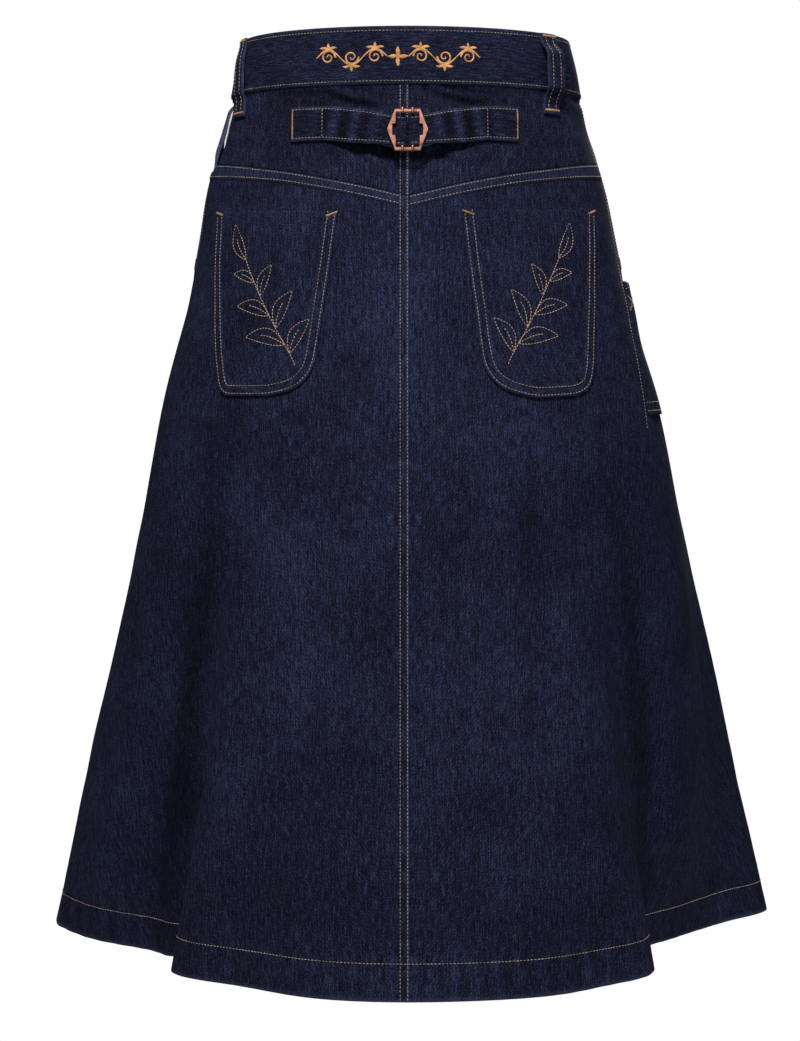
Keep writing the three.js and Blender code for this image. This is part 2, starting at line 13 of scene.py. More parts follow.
import bpy
import numpy as np
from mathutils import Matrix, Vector


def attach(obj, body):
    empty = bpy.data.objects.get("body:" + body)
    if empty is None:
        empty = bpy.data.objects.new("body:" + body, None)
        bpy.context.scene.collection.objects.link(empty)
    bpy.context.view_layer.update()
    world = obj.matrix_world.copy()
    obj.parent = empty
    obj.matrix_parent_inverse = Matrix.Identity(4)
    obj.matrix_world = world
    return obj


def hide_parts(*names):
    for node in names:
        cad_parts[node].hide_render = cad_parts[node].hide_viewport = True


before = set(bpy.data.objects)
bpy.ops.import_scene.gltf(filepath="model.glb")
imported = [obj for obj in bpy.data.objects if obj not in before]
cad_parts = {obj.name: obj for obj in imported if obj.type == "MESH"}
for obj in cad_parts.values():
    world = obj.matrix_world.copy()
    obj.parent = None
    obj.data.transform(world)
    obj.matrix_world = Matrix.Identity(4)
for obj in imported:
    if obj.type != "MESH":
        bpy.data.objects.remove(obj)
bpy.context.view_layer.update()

Array = np.ndarray
Table = dict[str, tuple[float, ...]]

LOG = logging.getLogger("skirt")
MM = 0.001

BAND_TOP = 25.0
BAND_BOTTOM = -25.0
HEM = -758.0
HEM_TOP = -731.0
CLOTH = 1.6
HEM_CLOTH = 3.0
LAY_GAP = 0.4
FOLDS_START = -290.0

# Sections of the worn skirt: half its width, its depth behind and before the waist line, and
# how far its sides sway to the wearer's right
SECTIONS: Table = {
    "z": (25, 0, -25, -60, -100, -150, -200, -290, -400, -510, -640, -758),
    "half_width": (141.5, 147.5, 152.5, 160.5, 172.5, 181.5, 192, 216.5, 239, 260, 283, 303),
    "back": (91, 94, 98, 107, 118, 128, 134, 146, 166, 189, 217, 243.5),
    "front": (90, 93, 97, 102, 108, 115, 121, 137, 156, 176, 202, 226),
    "sway": (0, 0, 0, 0, 0, 0.8, 1.5, 3.8, 6, 5.6, 2.6, 0),
}

# Side seams swing back over the hip, then forward to the hem
SIDE_SEAMS: Table = {
    "z": (25, -85, -176, -240, -290, -360, -420, -484, -568, -660, -758),
    "right": (88, 88.5, 87, 79, 75.2, 73.5, 75.5, 79.5, 86, 90.5, 95),
    "left": (-88, -89.5, -92, -89, -85, -80.5, -80, -82, -85, -88, -90),
}

# Back pockets: the drop below the mouth and where the inner and outer side lie, measured round
# the body from centre back
LEFT_POCKET: Table = {
    "drop": (0, 42, 84, 112, 130, 141, 148, 152),
    "inner": (57, 63, 69.5, 74, 78, 86, 98, 118),
    "outer": (181, 181, 177, 173, 169.5, 167, 164.5, 159),
}
RIGHT_POCKET: Table = {
    "drop": (0, 42, 84, 112, 130, 142, 150, 155),
    "inner": (46, 51, 57, 60.5, 64.5, 73, 87, 108),
    "outer": (178, 175.5, 171, 168, 166, 163, 158, 146),
}


class Side(Enum):
    """The wearer's left or right, with its sign along X."""

    LEFT = -1
    RIGHT = 1

    @property
    def word(self) -> str:
        """The side's name as the nodes spell it."""
        return self.name.lower()


class Held(Enum):
    """How a piece of cloth is held."""

    HUNG = "hung"
    LAID = "laid"
    FOLDED = "folded"
    STRETCHED = "stretched"


@dataclass(frozen=True)
class Fold:
    """A hanging fold from the hip to the hem.

    It runs from its top angle to its hem angle, has its full depth at the hem and spreads some
    degrees each way. A negative depth is a hollow.
    """

    top: float
    hem: float
    spread: float
    depth: float
    growth: float


FOLDS = (
    Fold(-56, -68.4, 15.2, -64.8, 1.15),
    Fold(-50, -59.4, 3.8, -27.6, 1.9),
    Fold(-30, -37.6, 15.9, -22.9, 1.6),
    Fold(-92, -96.2, 6.5, 14.6, 1.4),
    Fold(-103, -107.1, 9.4, 16.5, 1.3),
    Fold(58, 71.5, 16.1, -79.4, 1.15),
    Fold(52, 61.8, 3.8, -8.1, 1.9),
    Fold(34, 41.5, 10.2, -10.8, 1.6),
    Fold(86, 88.3, 9.3, -21.6, 1.4),
    Fold(97, 103.9, 5.6, 43.3, 1.3),
    Fold(108, 114.3, 7.5, 42.9, 1.3),
    Fold(132, 138.3, 8.1, -23.9, 1.3),
    Fold(-128, -132.5, 9.9, -30.2, 1.3),
    Fold(150, 150.4, 24.3, 7.1, 1.3),
    Fold(-144, -144.1, 19.7, 7.3, 1.3),
)


@dataclass(frozen=True)
class Crease:
    """A soft trough or ridge in the cloth, along a bent line between two places.

    Each place is an angle and a height. Width and depth are in mm, a negative depth is a trough,
    and bend is how far the line bows to one side in its middle.
    """

    start: tuple[float, float]
    end: tuple[float, float]
    width: float
    depth: float
    bend: float = 0.0


CREASES = (
    # drag lines above and below the cinch strap
    Crease((-54, -31), (-34, -31), 2.6, -1.9, 1.0),
    Crease((-40, -30), (-10, -46), 3.2, -4.0, 2.0),
    Crease((-36, -27), (-12, -40), 2.4, 1.5, 2.0),
    Crease((-30, -26), (-4, -37), 2.6, -2.0, 1.5),
    Crease((-50, -38), (-36, -44), 4.0, -1.4, -1.0),
    Crease((6, -28), (36, -42), 3.2, -3.8, 2.0),
    Crease((10, -26), (38, -37), 2.4, 1.4, 1.5),
    Crease((14, -25), (44, -34), 2.6, -1.7, 1.0),
    Crease((40, -36), (56, -46), 4.0, -1.2, 1.0),
    Crease((-30, -74), (30, -74), 6.0, -3.4, 6.0),
    Crease((-15, -84), (17, -84), 7.0, -3.6, 8.0),
    Crease((-19, -82), (-9, -101), 4.5, 1.8, -3.0),
    Crease((8, -80), (23, -98), 3.4, -2.2, -2.0),
    Crease((14, -80), (31, -95), 3.4, 1.6, -2.0),
    Crease((22, -80), (7, -106), 5.0, 1.2, 3.0),
    Crease((-24, -78), (-13, -92), 3.4, -2.0, 2.0),
    Crease((-40, -80), (-24, -98), 5.0, -1.6, -2.0),
    Crease((42, -80), (27, -100), 5.0, -1.6, 2.0),
    Crease((-87.5, -27), (-88, -90), 16.0, -5.0),
    Crease((-60, -52), (-66, -80), 6.0, -1.3, 2.0),
    Crease((60, -52), (66, -80), 6.0, -1.3, -2.0),
    Crease((-52, -40), (-44, -76), 8.0, -1.0, 3.0),
    Crease((54, -42), (46, -78), 8.0, -1.1, -3.0),
    # long soft troughs and ridges that hang from the hip
    Crease((36.5, -340), (31.5, -640), 13.0, -2.6, 4.0),
    Crease((44, -330), (38, -600), 14.0, 2.0, -4.0),
    Crease((20, -420), (17.5, -690), 17.0, 1.6, 3.0),
    Crease((-31, -250), (-37, -640), 15.0, 2.4, -5.0),
    Crease((-22, -380), (-24, -700), 18.0, -1.8, 4.0),
    Crease((-12, -300), (-13, -520), 15.0, 1.2, -2.0),
    Crease((9, -520), (8, -730), 15.0, -1.5, 3.0),
    Crease((79, -500), (84, -665), 9.0, -2.4, 2.0),
    Crease((86, -500), (95, -672), 7.0, 2.4, -2.0),
    Crease((-76, -420), (-84, -700), 12.0, -2.2, 4.0),
    Crease((-84, -380), (-90, -640), 12.0, 1.8, -4.0),
    # broad dents where the cloth falls off the seat
    Crease((-20, -300), (-34, -330), 22.0, -1.7, 6.0),
    Crease((14, -305), (34, -318), 22.0, -1.8, -6.0),
    Crease((19, -480), (30, -520), 20.0, -1.7, 5.0),
    Crease((24, -600), (10, -640), 24.0, -1.9, -5.0),
    Crease((-16, -560), (-6, -600), 22.0, -1.4, 5.0),
    # puckers near the hem at the side seams
    Crease((90, -715), (99, -728), 4.0, -1.8, 1.0),
    Crease((88, -700), (97, -712), 5.0, 1.3, 1.0),
    Crease((-86, -708), (-93, -724), 5.0, -1.2, -1.0),
    # hidden front, its creases like the back's
    Crease((170, -52), (152, -92), 8.0, -1.3, 4.0),
    Crease((-168, -50), (-150, -96), 8.0, -1.3, -4.0),
    Crease((156, -330), (151, -640), 15.0, -2.2, 4.0),
    Crease((-158, -350), (-152, -650), 16.0, -2.0, -4.0),
    Crease((168, -420), (170, -690), 17.0, 1.6, -3.0),
    Crease((-172, -400), (-173, -680), 17.0, 1.5, 3.0),
)


# Soft patches of painted shade and painted light: painted shade in the fold valleys, the drag creases
# and under the buckle, painted light on the seat and the lit crests.
# Each has a middle, how far it reaches round the body and up and down in mm, how far its angle drifts
# toward the hem, and its tone
SHADE_AND_LIGHT_PATCHES: Table = {
    "angle": (0, -45, 45, -62, 66, -55, 34, 16, 79, -17, -13, -5, -28, 24, -86, 88, 0, 25, -27,
              -28, 25, -50, 50, -46),
    "z": (-205, -75, -75, -560, -560, -600, -393, -609, -598, -258, -577, -478, -640, -700, -640,
          -640, -90, -520, -500, -36, -36, -33, -33, -106),
    "wide": (48, 45, 45, 15, 14, 10, 12, 24, 15, 17, 21, 16, 30, 40, 22, 25, 22, 18, 20,
             34, 30, 26, 22, 26),
    "high": (95, 38, 38, 210, 200, 230, 42, 22, 44, 11, 32, 17, 45, 40, 90, 60, 16, 110, 90,
             8, 8, 7, 6, 6),
    "drift": (0, 0, 0, -0.026, 0.029, -0.02, 0, 0, 0, 0, 0, 0, 0, 0, 0, 0, 0, 0.02, -0.02,
              0, 0, 0, 0, 0),
    "tone": (0.022, -0.034, -0.03, -0.085, -0.06, 0.02, -0.03, -0.03, -0.025, -0.025, -0.02,
             -0.025, -0.018, -0.012, 0.012, 0.02, -0.035, 0.01, 0.01,
             -0.06, -0.06, -0.04, -0.03, -0.03),
}


def smooth(value: Array | float) -> Array:
    """An ease from 0 to 1: t squared times three less two t."""
    t = np.clip(value, 0.0, 1.0)
    return t * t * (3.0 - 2.0 * t)


def lerp(start: Array | float, end: Array | float, share: Array | float) -> Array:
    """The value a share of the way from start to end."""
    return start + (end - start) * share


def column(table: Table, key: str, at: Array | float, position: str = "z") -> Array:
    """Reads a column of a table with a smooth curve through its rows.

    The curve between two rows is a cubic whose slope at each row is that of the line through the
    rows beside it.

    Args:
        table: columns of equal length, by name.
        key: the column to read.
        at: where to read it, in the units of the position column.
        position: the column that rises or falls from row to row.

    Returns:
        The values, in the shape of at.
    """
    places = np.array(table[position], dtype=float)
    values = np.array(table[key], dtype=float)
    count = len(places)
    before = np.maximum(np.arange(count) - 1, 0)
    after = np.minimum(np.arange(count) + 1, count - 1)
    slopes = (values[after] - values[before]) / (places[after] - places[before])
    way = np.sign(places[-1] - places[0])
    at = np.asarray(at, dtype=float)
    i = np.clip(np.searchsorted(way * places, way * at) - 1, 0, count - 2)
    span = places[i + 1] - places[i]
    t = np.clip((at - places[i]) / span, 0.0, 1.0)
    rise = smooth(t)
    bend_from = t * (1 - t) ** 2 * span * slopes[i]
    bend_to = t * t * (t - 1) * span * slopes[i + 1]
    return values[i] * (1 - rise) + values[i + 1] * rise + bend_from + bend_to


def wrapped(degrees: Array | float) -> Array:
    """The same angle between -180 and 180."""
    return (np.asarray(degrees) + 540.0) % 360.0 - 180.0


def unit(vectors: Array) -> Array:
    """The vectors, each divided by its length."""
    return vectors / np.maximum(np.linalg.norm(vectors, axis=-1, keepdims=True), 1e-9)


class Body:
    """The worn form of the skirt and the creases in its cloth."""

    SEAM_PUCKER_PITCH = 11.0
    HEM_PUCKER_PITCH = 19.0

    def radius(self, angle: Array | float, z: Array | float) -> Array:
        """Distance from the axis: a half ellipse behind and before, plus the hanging folds."""
        turn = np.radians(angle)
        depth = np.where(
            np.cos(turn) > 0, column(SECTIONS, "back", z), column(SECTIONS, "front", z)
        )
        side = np.sin(turn) / column(SECTIONS, "half_width", z)
        out = 1.0 / np.hypot(side, np.cos(turn) / depth)
        share = np.clip((FOLDS_START - np.asarray(z)) / (FOLDS_START - HEM), 0.0, 1.0)
        for fold in FOLDS:
            away = wrapped(angle - lerp(fold.top, fold.hem, share)) / fold.spread
            out = out + fold.depth * share**fold.growth * np.exp(-away * away)
        return out

    def point(self, angle: Array | float, z: Array | float) -> Array:
        """Points of the form, without the creases."""
        angle, z = np.broadcast_arrays(np.asarray(angle, float), np.asarray(z, float))
        out = self.radius(angle, z)
        across = np.sin(np.radians(angle))
        sway = column(SECTIONS, "sway", z) * across**2
        return np.stack([out * across + sway, -out * np.cos(np.radians(angle)), z], axis=-1)

    def outward(self, angle: Array | float, z: Array | float) -> Array:
        """Unit vectors that point away from the form."""
        step_angle, step_z = 0.4, 2.0
        across = self.point(angle + step_angle, z) - self.point(angle - step_angle, z)
        top = np.minimum(np.asarray(z) + step_z, BAND_TOP)
        low = np.maximum(np.asarray(z) - step_z, HEM)
        up = self.point(angle, top) - self.point(angle, low)
        return unit(np.cross(across, up))

    def relief(self, angle: Array | float, z: Array | float) -> Array:
        """How far the creases stand out from the form.

        A crease is a bell curve across its line, eased to nothing at both ends. To these come
        small waves beside the centre back seam and in the hem, and a slow unevenness all over.
        """
        angle, z = np.broadcast_arrays(np.asarray(angle, float), np.asarray(z, float))
        total = np.zeros(angle.shape)
        for crease in CREASES:
            (a0, z0), (a1, z1) = crease.start, crease.end
            scale = math.radians(1) * float(self.radius((a0 + a1) / 2, (z0 + z1) / 2))
            run = np.array([(a1 - a0) * scale, z1 - z0])
            length = float(np.hypot(*run))
            gone = np.stack([wrapped(angle - a0) * scale, z - z0], axis=-1)
            along = (gone @ run) / length**2
            aside = (gone[..., 0] * run[1] - gone[..., 1] * run[0]) / length
            aside = aside - crease.bend * 4 * along * (1 - along)
            ease = np.clip(1 - (2 * along - 1) ** 4, 0.0, 1.0)
            total += crease.depth * ease * np.exp(-((aside / crease.width) ** 2))
        around = np.radians(angle) * 200.0
        below_band = smooth((BAND_BOTTOM - z) / 30.0)
        total += self.puckers(around, z)
        total -= 1.3 * np.exp(-(((z - BAND_BOTTOM + 4.5) / 3.2) ** 2))
        slow = np.sin(around / 23.0 + z / 61.0 + 1.3 * np.sin(z / 47.0))
        slow = slow + np.sin(around / 31.0 - z / 39.0 + 1.1 * np.sin(around / 29.0) + 2.0)
        slow = slow + 0.6 * np.sin(around / 13.0 + z / 23.0 + 2.0 * np.sin(z / 33.0))
        return total + 0.34 * slow * below_band

    def puckers(self, around: Array, z: Array) -> Array:
        """Small waves beside the centre back seam and in the hem, by length round and height."""
        beside = np.exp(-((around / 15.0) ** 2)) * smooth((BAND_BOTTOM - z) / 30.0)
        wave = np.sin(2 * np.pi * z / self.SEAM_PUCKER_PITCH + 1.9 * np.sin(z / 31.0))
        total = 0.34 * wave * beside * (0.6 + 0.4 * np.sin(z / 57.0 + 1.0))
        in_hem = smooth((HEM + 44.0 - z) / 16.0)
        pitch = self.HEM_PUCKER_PITCH
        ripple = np.sin(2 * np.pi * around * 1.25 / pitch + 2.4 * np.sin(around / 41))
        return total + 0.55 * ripple * in_hem * (0.65 + 0.35 * np.sin(around / 73.0 + 0.4))

    def tone(self, angle: Array, z: Array) -> Array:
        """How much paler or darker the colour is drawn: patches of painted shade and painted light,
        painted shade and light on the puckers, and a darker lower part.
        """
        total = -0.012 * smooth((-540.0 - z) / 160.0)
        # Painted light and shade on the puckers: their raised parts drawn paler, their hollows darker.
        total = total + 0.035 * self.puckers(np.radians(angle) * 200.0, z)
        round_from = np.radians(1.0) * self.radius(angle, z)
        for middle, height, wide, high, drift, tone in zip(*SHADE_AND_LIGHT_PATCHES.values()):
            aside = wrapped(angle - middle - drift * (height - z)) * round_from / wide
            total = total + tone * np.exp(-aside * aside - ((z - height) / high) ** 2)
        return total

    def off(self, angle: Array | float, z: Array | float, distance: Array | float) -> Array:
        """Points a given distance out from the creased form, negative for inside it."""
        out = np.asarray(distance) + self.relief(angle, z)
        return self.point(angle, z) + self.outward(angle, z) * out[..., None]


BODY = Body()


class Girth:
    """Lengths round the form from centre back, tabled once and read both ways."""

    STEP = 0.5
    DROP = 4.0
    REACH = 200.0

    def __init__(self) -> None:
        """Adds up the chords between points half a degree apart, height by height."""
        self.angles = np.arange(-self.REACH, self.REACH + self.STEP / 2, self.STEP)
        self.heights = np.arange(BAND_TOP, HEM - self.DROP, -self.DROP)
        points = BODY.point(self.angles[None, :], np.maximum(self.heights, HEM)[:, None])
        chords = np.linalg.norm(np.diff(points, axis=1), axis=-1)
        total = np.concatenate([np.zeros((len(chords), 1)), np.cumsum(chords, axis=1)], axis=1)
        self.lengths = total - total[:, [len(self.angles) // 2]]

    def length(self, angle: Array, z: Array) -> Array:
        """The length round from centre back to an angle, read between four table places."""
        a = np.clip((angle + self.REACH) / self.STEP, 0, len(self.angles) - 1.001)
        h = np.clip((BAND_TOP - z) / self.DROP, 0, len(self.heights) - 1.001)
        i, k = a.astype(int), h.astype(int)
        fa, fh = a - i, h - k
        upper = lerp(self.lengths[k, i], self.lengths[k, i + 1], fa)
        lower = lerp(self.lengths[k + 1, i], self.lengths[k + 1, i + 1], fa)
        return lerp(upper, lower, fh)

    def angle(self, length: Array | float, z: Array | float) -> Array:
        """The angle that a length round from centre back reaches, by Newton's steps."""
        length, z = np.broadcast_arrays(np.asarray(length, float), np.asarray(z, float))
        guess = length / 3.0
        for _ in range(10):
            slope = (self.length(guess + 1, z) - self.length(guess - 1, z)) / 2
            guess = guess + (length - self.length(guess, z)) / slope
        return guess


GIRTH = Girth()


def degrees_for(length: Array | float, angle: Array | float, z: Array | float) -> Array:
    """The angle that a short length covers on the form."""
    return np.degrees(length / BODY.radius(angle, z))


def side_seam(z: Array | float, side: Side) -> Array:
    """The side seam's angle at a height."""
    return column(SIDE_SEAMS, side.word, z)


def yoke_seam(angle: Array | float) -> Array:
    """The V seam's height: lowest at centre back and rising in a soft curve to the sides."""
    centre_z, side_z, sweep = -120.0, -83.0, 1.25
    reach = 1 - np.clip(np.abs(angle) / SIDE_SEAMS["right"][0], 0, 1)
    return side_z + (centre_z - side_z) * reach**sweep


def yoke_spread(angle: Array | float) -> Array:
    """How much wider the felled strip of the V seam gets toward the sides."""
    return 2.8 * smooth((np.abs(angle) - 40.0) / 45.0)


def edged(count: int, span: float, edge: float) -> Array:
    """Evenly spaced shares of a span, with closer ones in a rounded edge at both ends.

    Args:
        count: how many even steps.
        span: the real length in mm.
        edge: the rounded edge's width in mm.

    Returns:
        Shares from 0 to 1.
    """
    near = np.array([0.0, 0.12, 0.42, 1.0]) * edge / span
    middle = np.linspace(near[-1], 1 - near[-1], count + 1)[1:-1]
    return np.concatenate([near, middle, 1 - near[::-1]])


def meshgrid(u: Array, v: Array) -> tuple[Array, Array]:
    """The two coordinates of a grid, the first along its rows of columns."""
    return np.meshgrid(u, v, indexing="ij")


# Meshes


def make_object(
    name: str,
    points: Array,
    faces: Sequence[Array],
    uv: Array | None = None,
    marks: dict[str, Array] | None = None,
    smoothed: bool = True,
) -> bpy.types.Object:
    """Makes an object whose mesh holds the given faces.

    Args:
        name: the object's name.
        points: corners in mm, one row each.
        faces: arrays of corner numbers, each array with one number of corners a face.
        uv: two coordinates in mm for each corner, kept in metres.
        marks: named values for each corner, for the finish to read.
        smoothed: whether the faces are shaded smooth.

    Returns:
        The new object, linked to the scene.
    """
    mesh = bpy.data.meshes.new(name)
    corners = np.concatenate([part.ravel() for part in faces]).astype(np.int32)
    sizes = np.concatenate([np.full(len(part), part.shape[1]) for part in faces])
    starts = np.concatenate([[0], np.cumsum(sizes)[:-1]]).astype(np.int32)
    mesh.vertices.add(len(points))
    mesh.vertices.foreach_set("co", (points * MM).astype(np.float32).ravel())
    mesh.loops.add(len(corners))
    mesh.loops.foreach_set("vertex_index", corners)
    mesh.polygons.add(len(sizes))
    mesh.polygons.foreach_set("loop_start", starts)
    mesh.polygons.foreach_set("use_smooth", np.full(len(sizes), smoothed))
    mesh.update(calc_edges=True)
    if uv is not None:
        layer = mesh.uv_layers.new(name="Cloth")
        layer.data.foreach_set("uv", (uv[corners] * MM).astype(np.float32).ravel())
    for key, values in (marks or {}).items():
        mark = mesh.attributes.new(key, "FLOAT", "POINT")
        mark.data.foreach_set("value", values.astype(np.float32).ravel())
    made = bpy.data.objects.new(name, mesh)
    bpy.context.scene.collection.objects.link(made)
    return made


def quads(grid: Array, flipped: bool = False) -> Array:
    """The four-cornered faces of a grid of corner numbers, turned over if flipped."""
    a, b, c, d = grid[:-1, :-1], grid[:-1, 1:], grid[1:, 1:], grid[1:, :-1]
    order = (a, d, c, b) if flipped else (a, b, c, d)
    return np.stack(order, axis=-1).reshape(-1, 4)


def run_lengths(points: Array, axis: int) -> Array:
    """The length from the first point of each row to each of its points."""
    chords = np.linalg.norm(np.diff(points, axis=axis), axis=-1)
    pad = [(0, 0), (0, 0)]
    pad[axis] = (1, 0)
    return np.pad(np.cumsum(chords, axis=axis), pad)


def margins(points: Array) -> Array:
    """Each grid point's distance in mm from the nearest border."""
    along, down = run_lengths(points, 0), run_lengths(points, 1)
    across = np.minimum(along, along[-1:, :] - along)
    return np.minimum(across, np.minimum(down, down[:, -1:] - down))


@dataclass
class Cut:
    """The flat cut of a piece of cloth, in metres."""

    width: float
    length: float
    area: float


@dataclass
class Piece:
    """A finished piece of cloth and its flat cut."""

    thing: bpy.types.Object
    cut: Cut


def cloth_wall(
    name: str,
    outer: Array,
    inner: Array,
    wear: Array | float = 0.0,
    edge: float = 0.8,
    grain_from_end: bool = False,
    tone: Array | float = 0.0,
    warp_along: bool = False,
) -> Piece:
    """A closed wall of cloth between an outer and an inner grid of points.

    Near its borders both faces close in on the middle as the two sides of a half circle, so that
    every edge is rounded like a folded one. The pattern's coordinates are lengths along the grid.

    Args:
        name: the object's name.
        outer: outer points in mm, column by row.
        inner: inner points in mm, in the same order.
        wear: 0 to 1 at each point, how much the dye has rubbed off.
        edge: the width of the rounded edge in mm.
        grain_from_end: whether widths are measured from the last column.
        tone: how much paler the colour is at each point, negative for darker; on the body pieces and
            straps it is mostly painted shade and painted light.
        warp_along: whether the warp runs along the grid's first axis.

    Returns:
        The piece and its cut.
    """
    middle = (outer + inner) / 2
    share = np.clip(margins(middle) / edge, 0.0, 1.0)
    full = np.maximum(np.sqrt(1 - (1 - share) ** 2), 0.1)[..., None]
    half = (outer - inner) / 2 * full
    outer, inner = middle + half, middle - half
    columns, rows = outer.shape[:2]
    front, back = np.arange(2 * columns * rows).reshape(2, columns, rows)
    rim = np.concatenate([front[:, 0], front[-1, 1:], front[-2::-1, -1], front[0, -2:0:-1]])
    rim_back = rim + columns * rows
    sides = np.stack([np.roll(rim, -1), np.roll(rim_back, -1), rim_back, rim], axis=-1)
    faces = np.concatenate([quads(front), quads(back, flipped=True), sides])
    along, down = run_lengths(middle, 0), run_lengths(middle, 1)
    if grain_from_end:
        along = along[-1:, :] - along
    uv = np.stack([down, along] if warp_along else [along, down], axis=-1).reshape(-1, 2)
    wear = np.broadcast_to(np.asarray(wear, float), along.shape)
    marks = {
        "wear": np.concatenate([wear.ravel(), np.zeros(wear.size)]),
        "inside": np.repeat([0.0, 1.0], wear.size),
        "tone": np.tile(np.broadcast_to(np.asarray(tone, float), along.shape).ravel(), 2),
    }
    corners = np.concatenate([outer.reshape(-1, 3), inner.reshape(-1, 3)])
    thing = make_object(name, corners, [faces], np.concatenate([uv, uv]), marks)
    a, b, c, d = middle[:-1, :-1], middle[:-1, 1:], middle[1:, 1:], middle[1:, :-1]
    area = 0.5 * np.linalg.norm(np.cross(c - a, d - b), axis=-1).sum()
    width = run_lengths(middle, 0)[-1].max()
    length = run_lengths(middle, 1)[:, -1].max()
    return Piece(thing, Cut(width * MM, length * MM, min(area, width * length) * MM**2))


def body_cloth(
    name: str,
    angle: Array,
    z: Array,
    lift: Array | float = 0.0,
    thickness: Array | float = CLOTH,
    wear: Array | float = 0.0,
    grain_from_end: bool = False,
) -> Piece:
    """A wall of cloth laid on the form.

    Args:
        name: the object's name.
        angle: degrees at each grid point, growing along the first axis.
        z: heights in mm, falling along the second axis.
        lift: how far the outer face stands out from the form.
        thickness: of the cloth, in mm.
        wear: 0 to 1 at each point.
        grain_from_end: whether widths are measured from the last column.

    Returns:
        The piece and its cut.
    """
    lift = np.broadcast_to(np.asarray(lift, float), angle.shape)
    outer = BODY.off(angle, z, lift)
    inner = BODY.off(angle, z, lift - thickness)
    tone = BODY.tone(angle, z)
    return cloth_wall(name, outer, inner, wear, grain_from_end=grain_from_end, tone=tone)


# Finishes


def linear(hex_colour: str) -> tuple[float, float, float, float]:
    """Turns an sRGB hex colour into the linear one that shaders take."""
    parts = [int(hex_colour[i : i + 2], 16) / 255 for i in (1, 3, 5)]
    curve = [p / 12.92 if p <= 0.04045 else ((p + 0.055) / 1.055) ** 2.4 for p in parts]
    return (curve[0], curve[1], curve[2], 1.0)


def add_node(
    tree: bpy.types.NodeTree,
    kind: str,
    settings: dict[str, object] | None = None,
    links: dict[str | int, object] | None = None,
) -> bpy.types.Node:
    """Adds a node with its settings, values and links.

    Args:
        tree: the material's node tree.
        kind: the node's type name.
        settings: attributes of the node.
        links: values for its inputs, or the output sockets that feed them, by name or number.

    Returns:
        The new node.
    """
    node = tree.nodes.new(kind)
    for key, value in (settings or {}).items():
        setattr(node, key, value)
    for key, value in (links or {}).items():
        if isinstance(value, bpy.types.NodeSocket):
            tree.links.new(value, node.inputs[key])
        else:
            node.inputs[key].default_value = value
    return node


def colour_ramp(
    tree: bpy.types.NodeTree, factor: bpy.types.NodeSocket, stops: Sequence[tuple[float, str]]
) -> bpy.types.NodeSocket:
    """A ramp of hex colours at given places, fed by a factor."""
    node = add_node(tree, "ShaderNodeValToRGB", links={"Fac": factor})
    while len(node.color_ramp.elements) < len(stops):
        node.color_ramp.elements.new(0.5)
    for element, (place, colour) in zip(node.color_ramp.elements, stops):
        element.position = place
        element.color = linear(colour)
    return node.outputs["Color"]


def new_material(name: str) -> tuple[bpy.types.Material, bpy.types.NodeTree, bpy.types.Node]:
    """An empty material, its node tree and its surface shader."""
    material = bpy.data.materials.new(name)
    material.use_nodes = True
    shader = material.node_tree.nodes["Principled BSDF"]
    return material, material.node_tree, shader


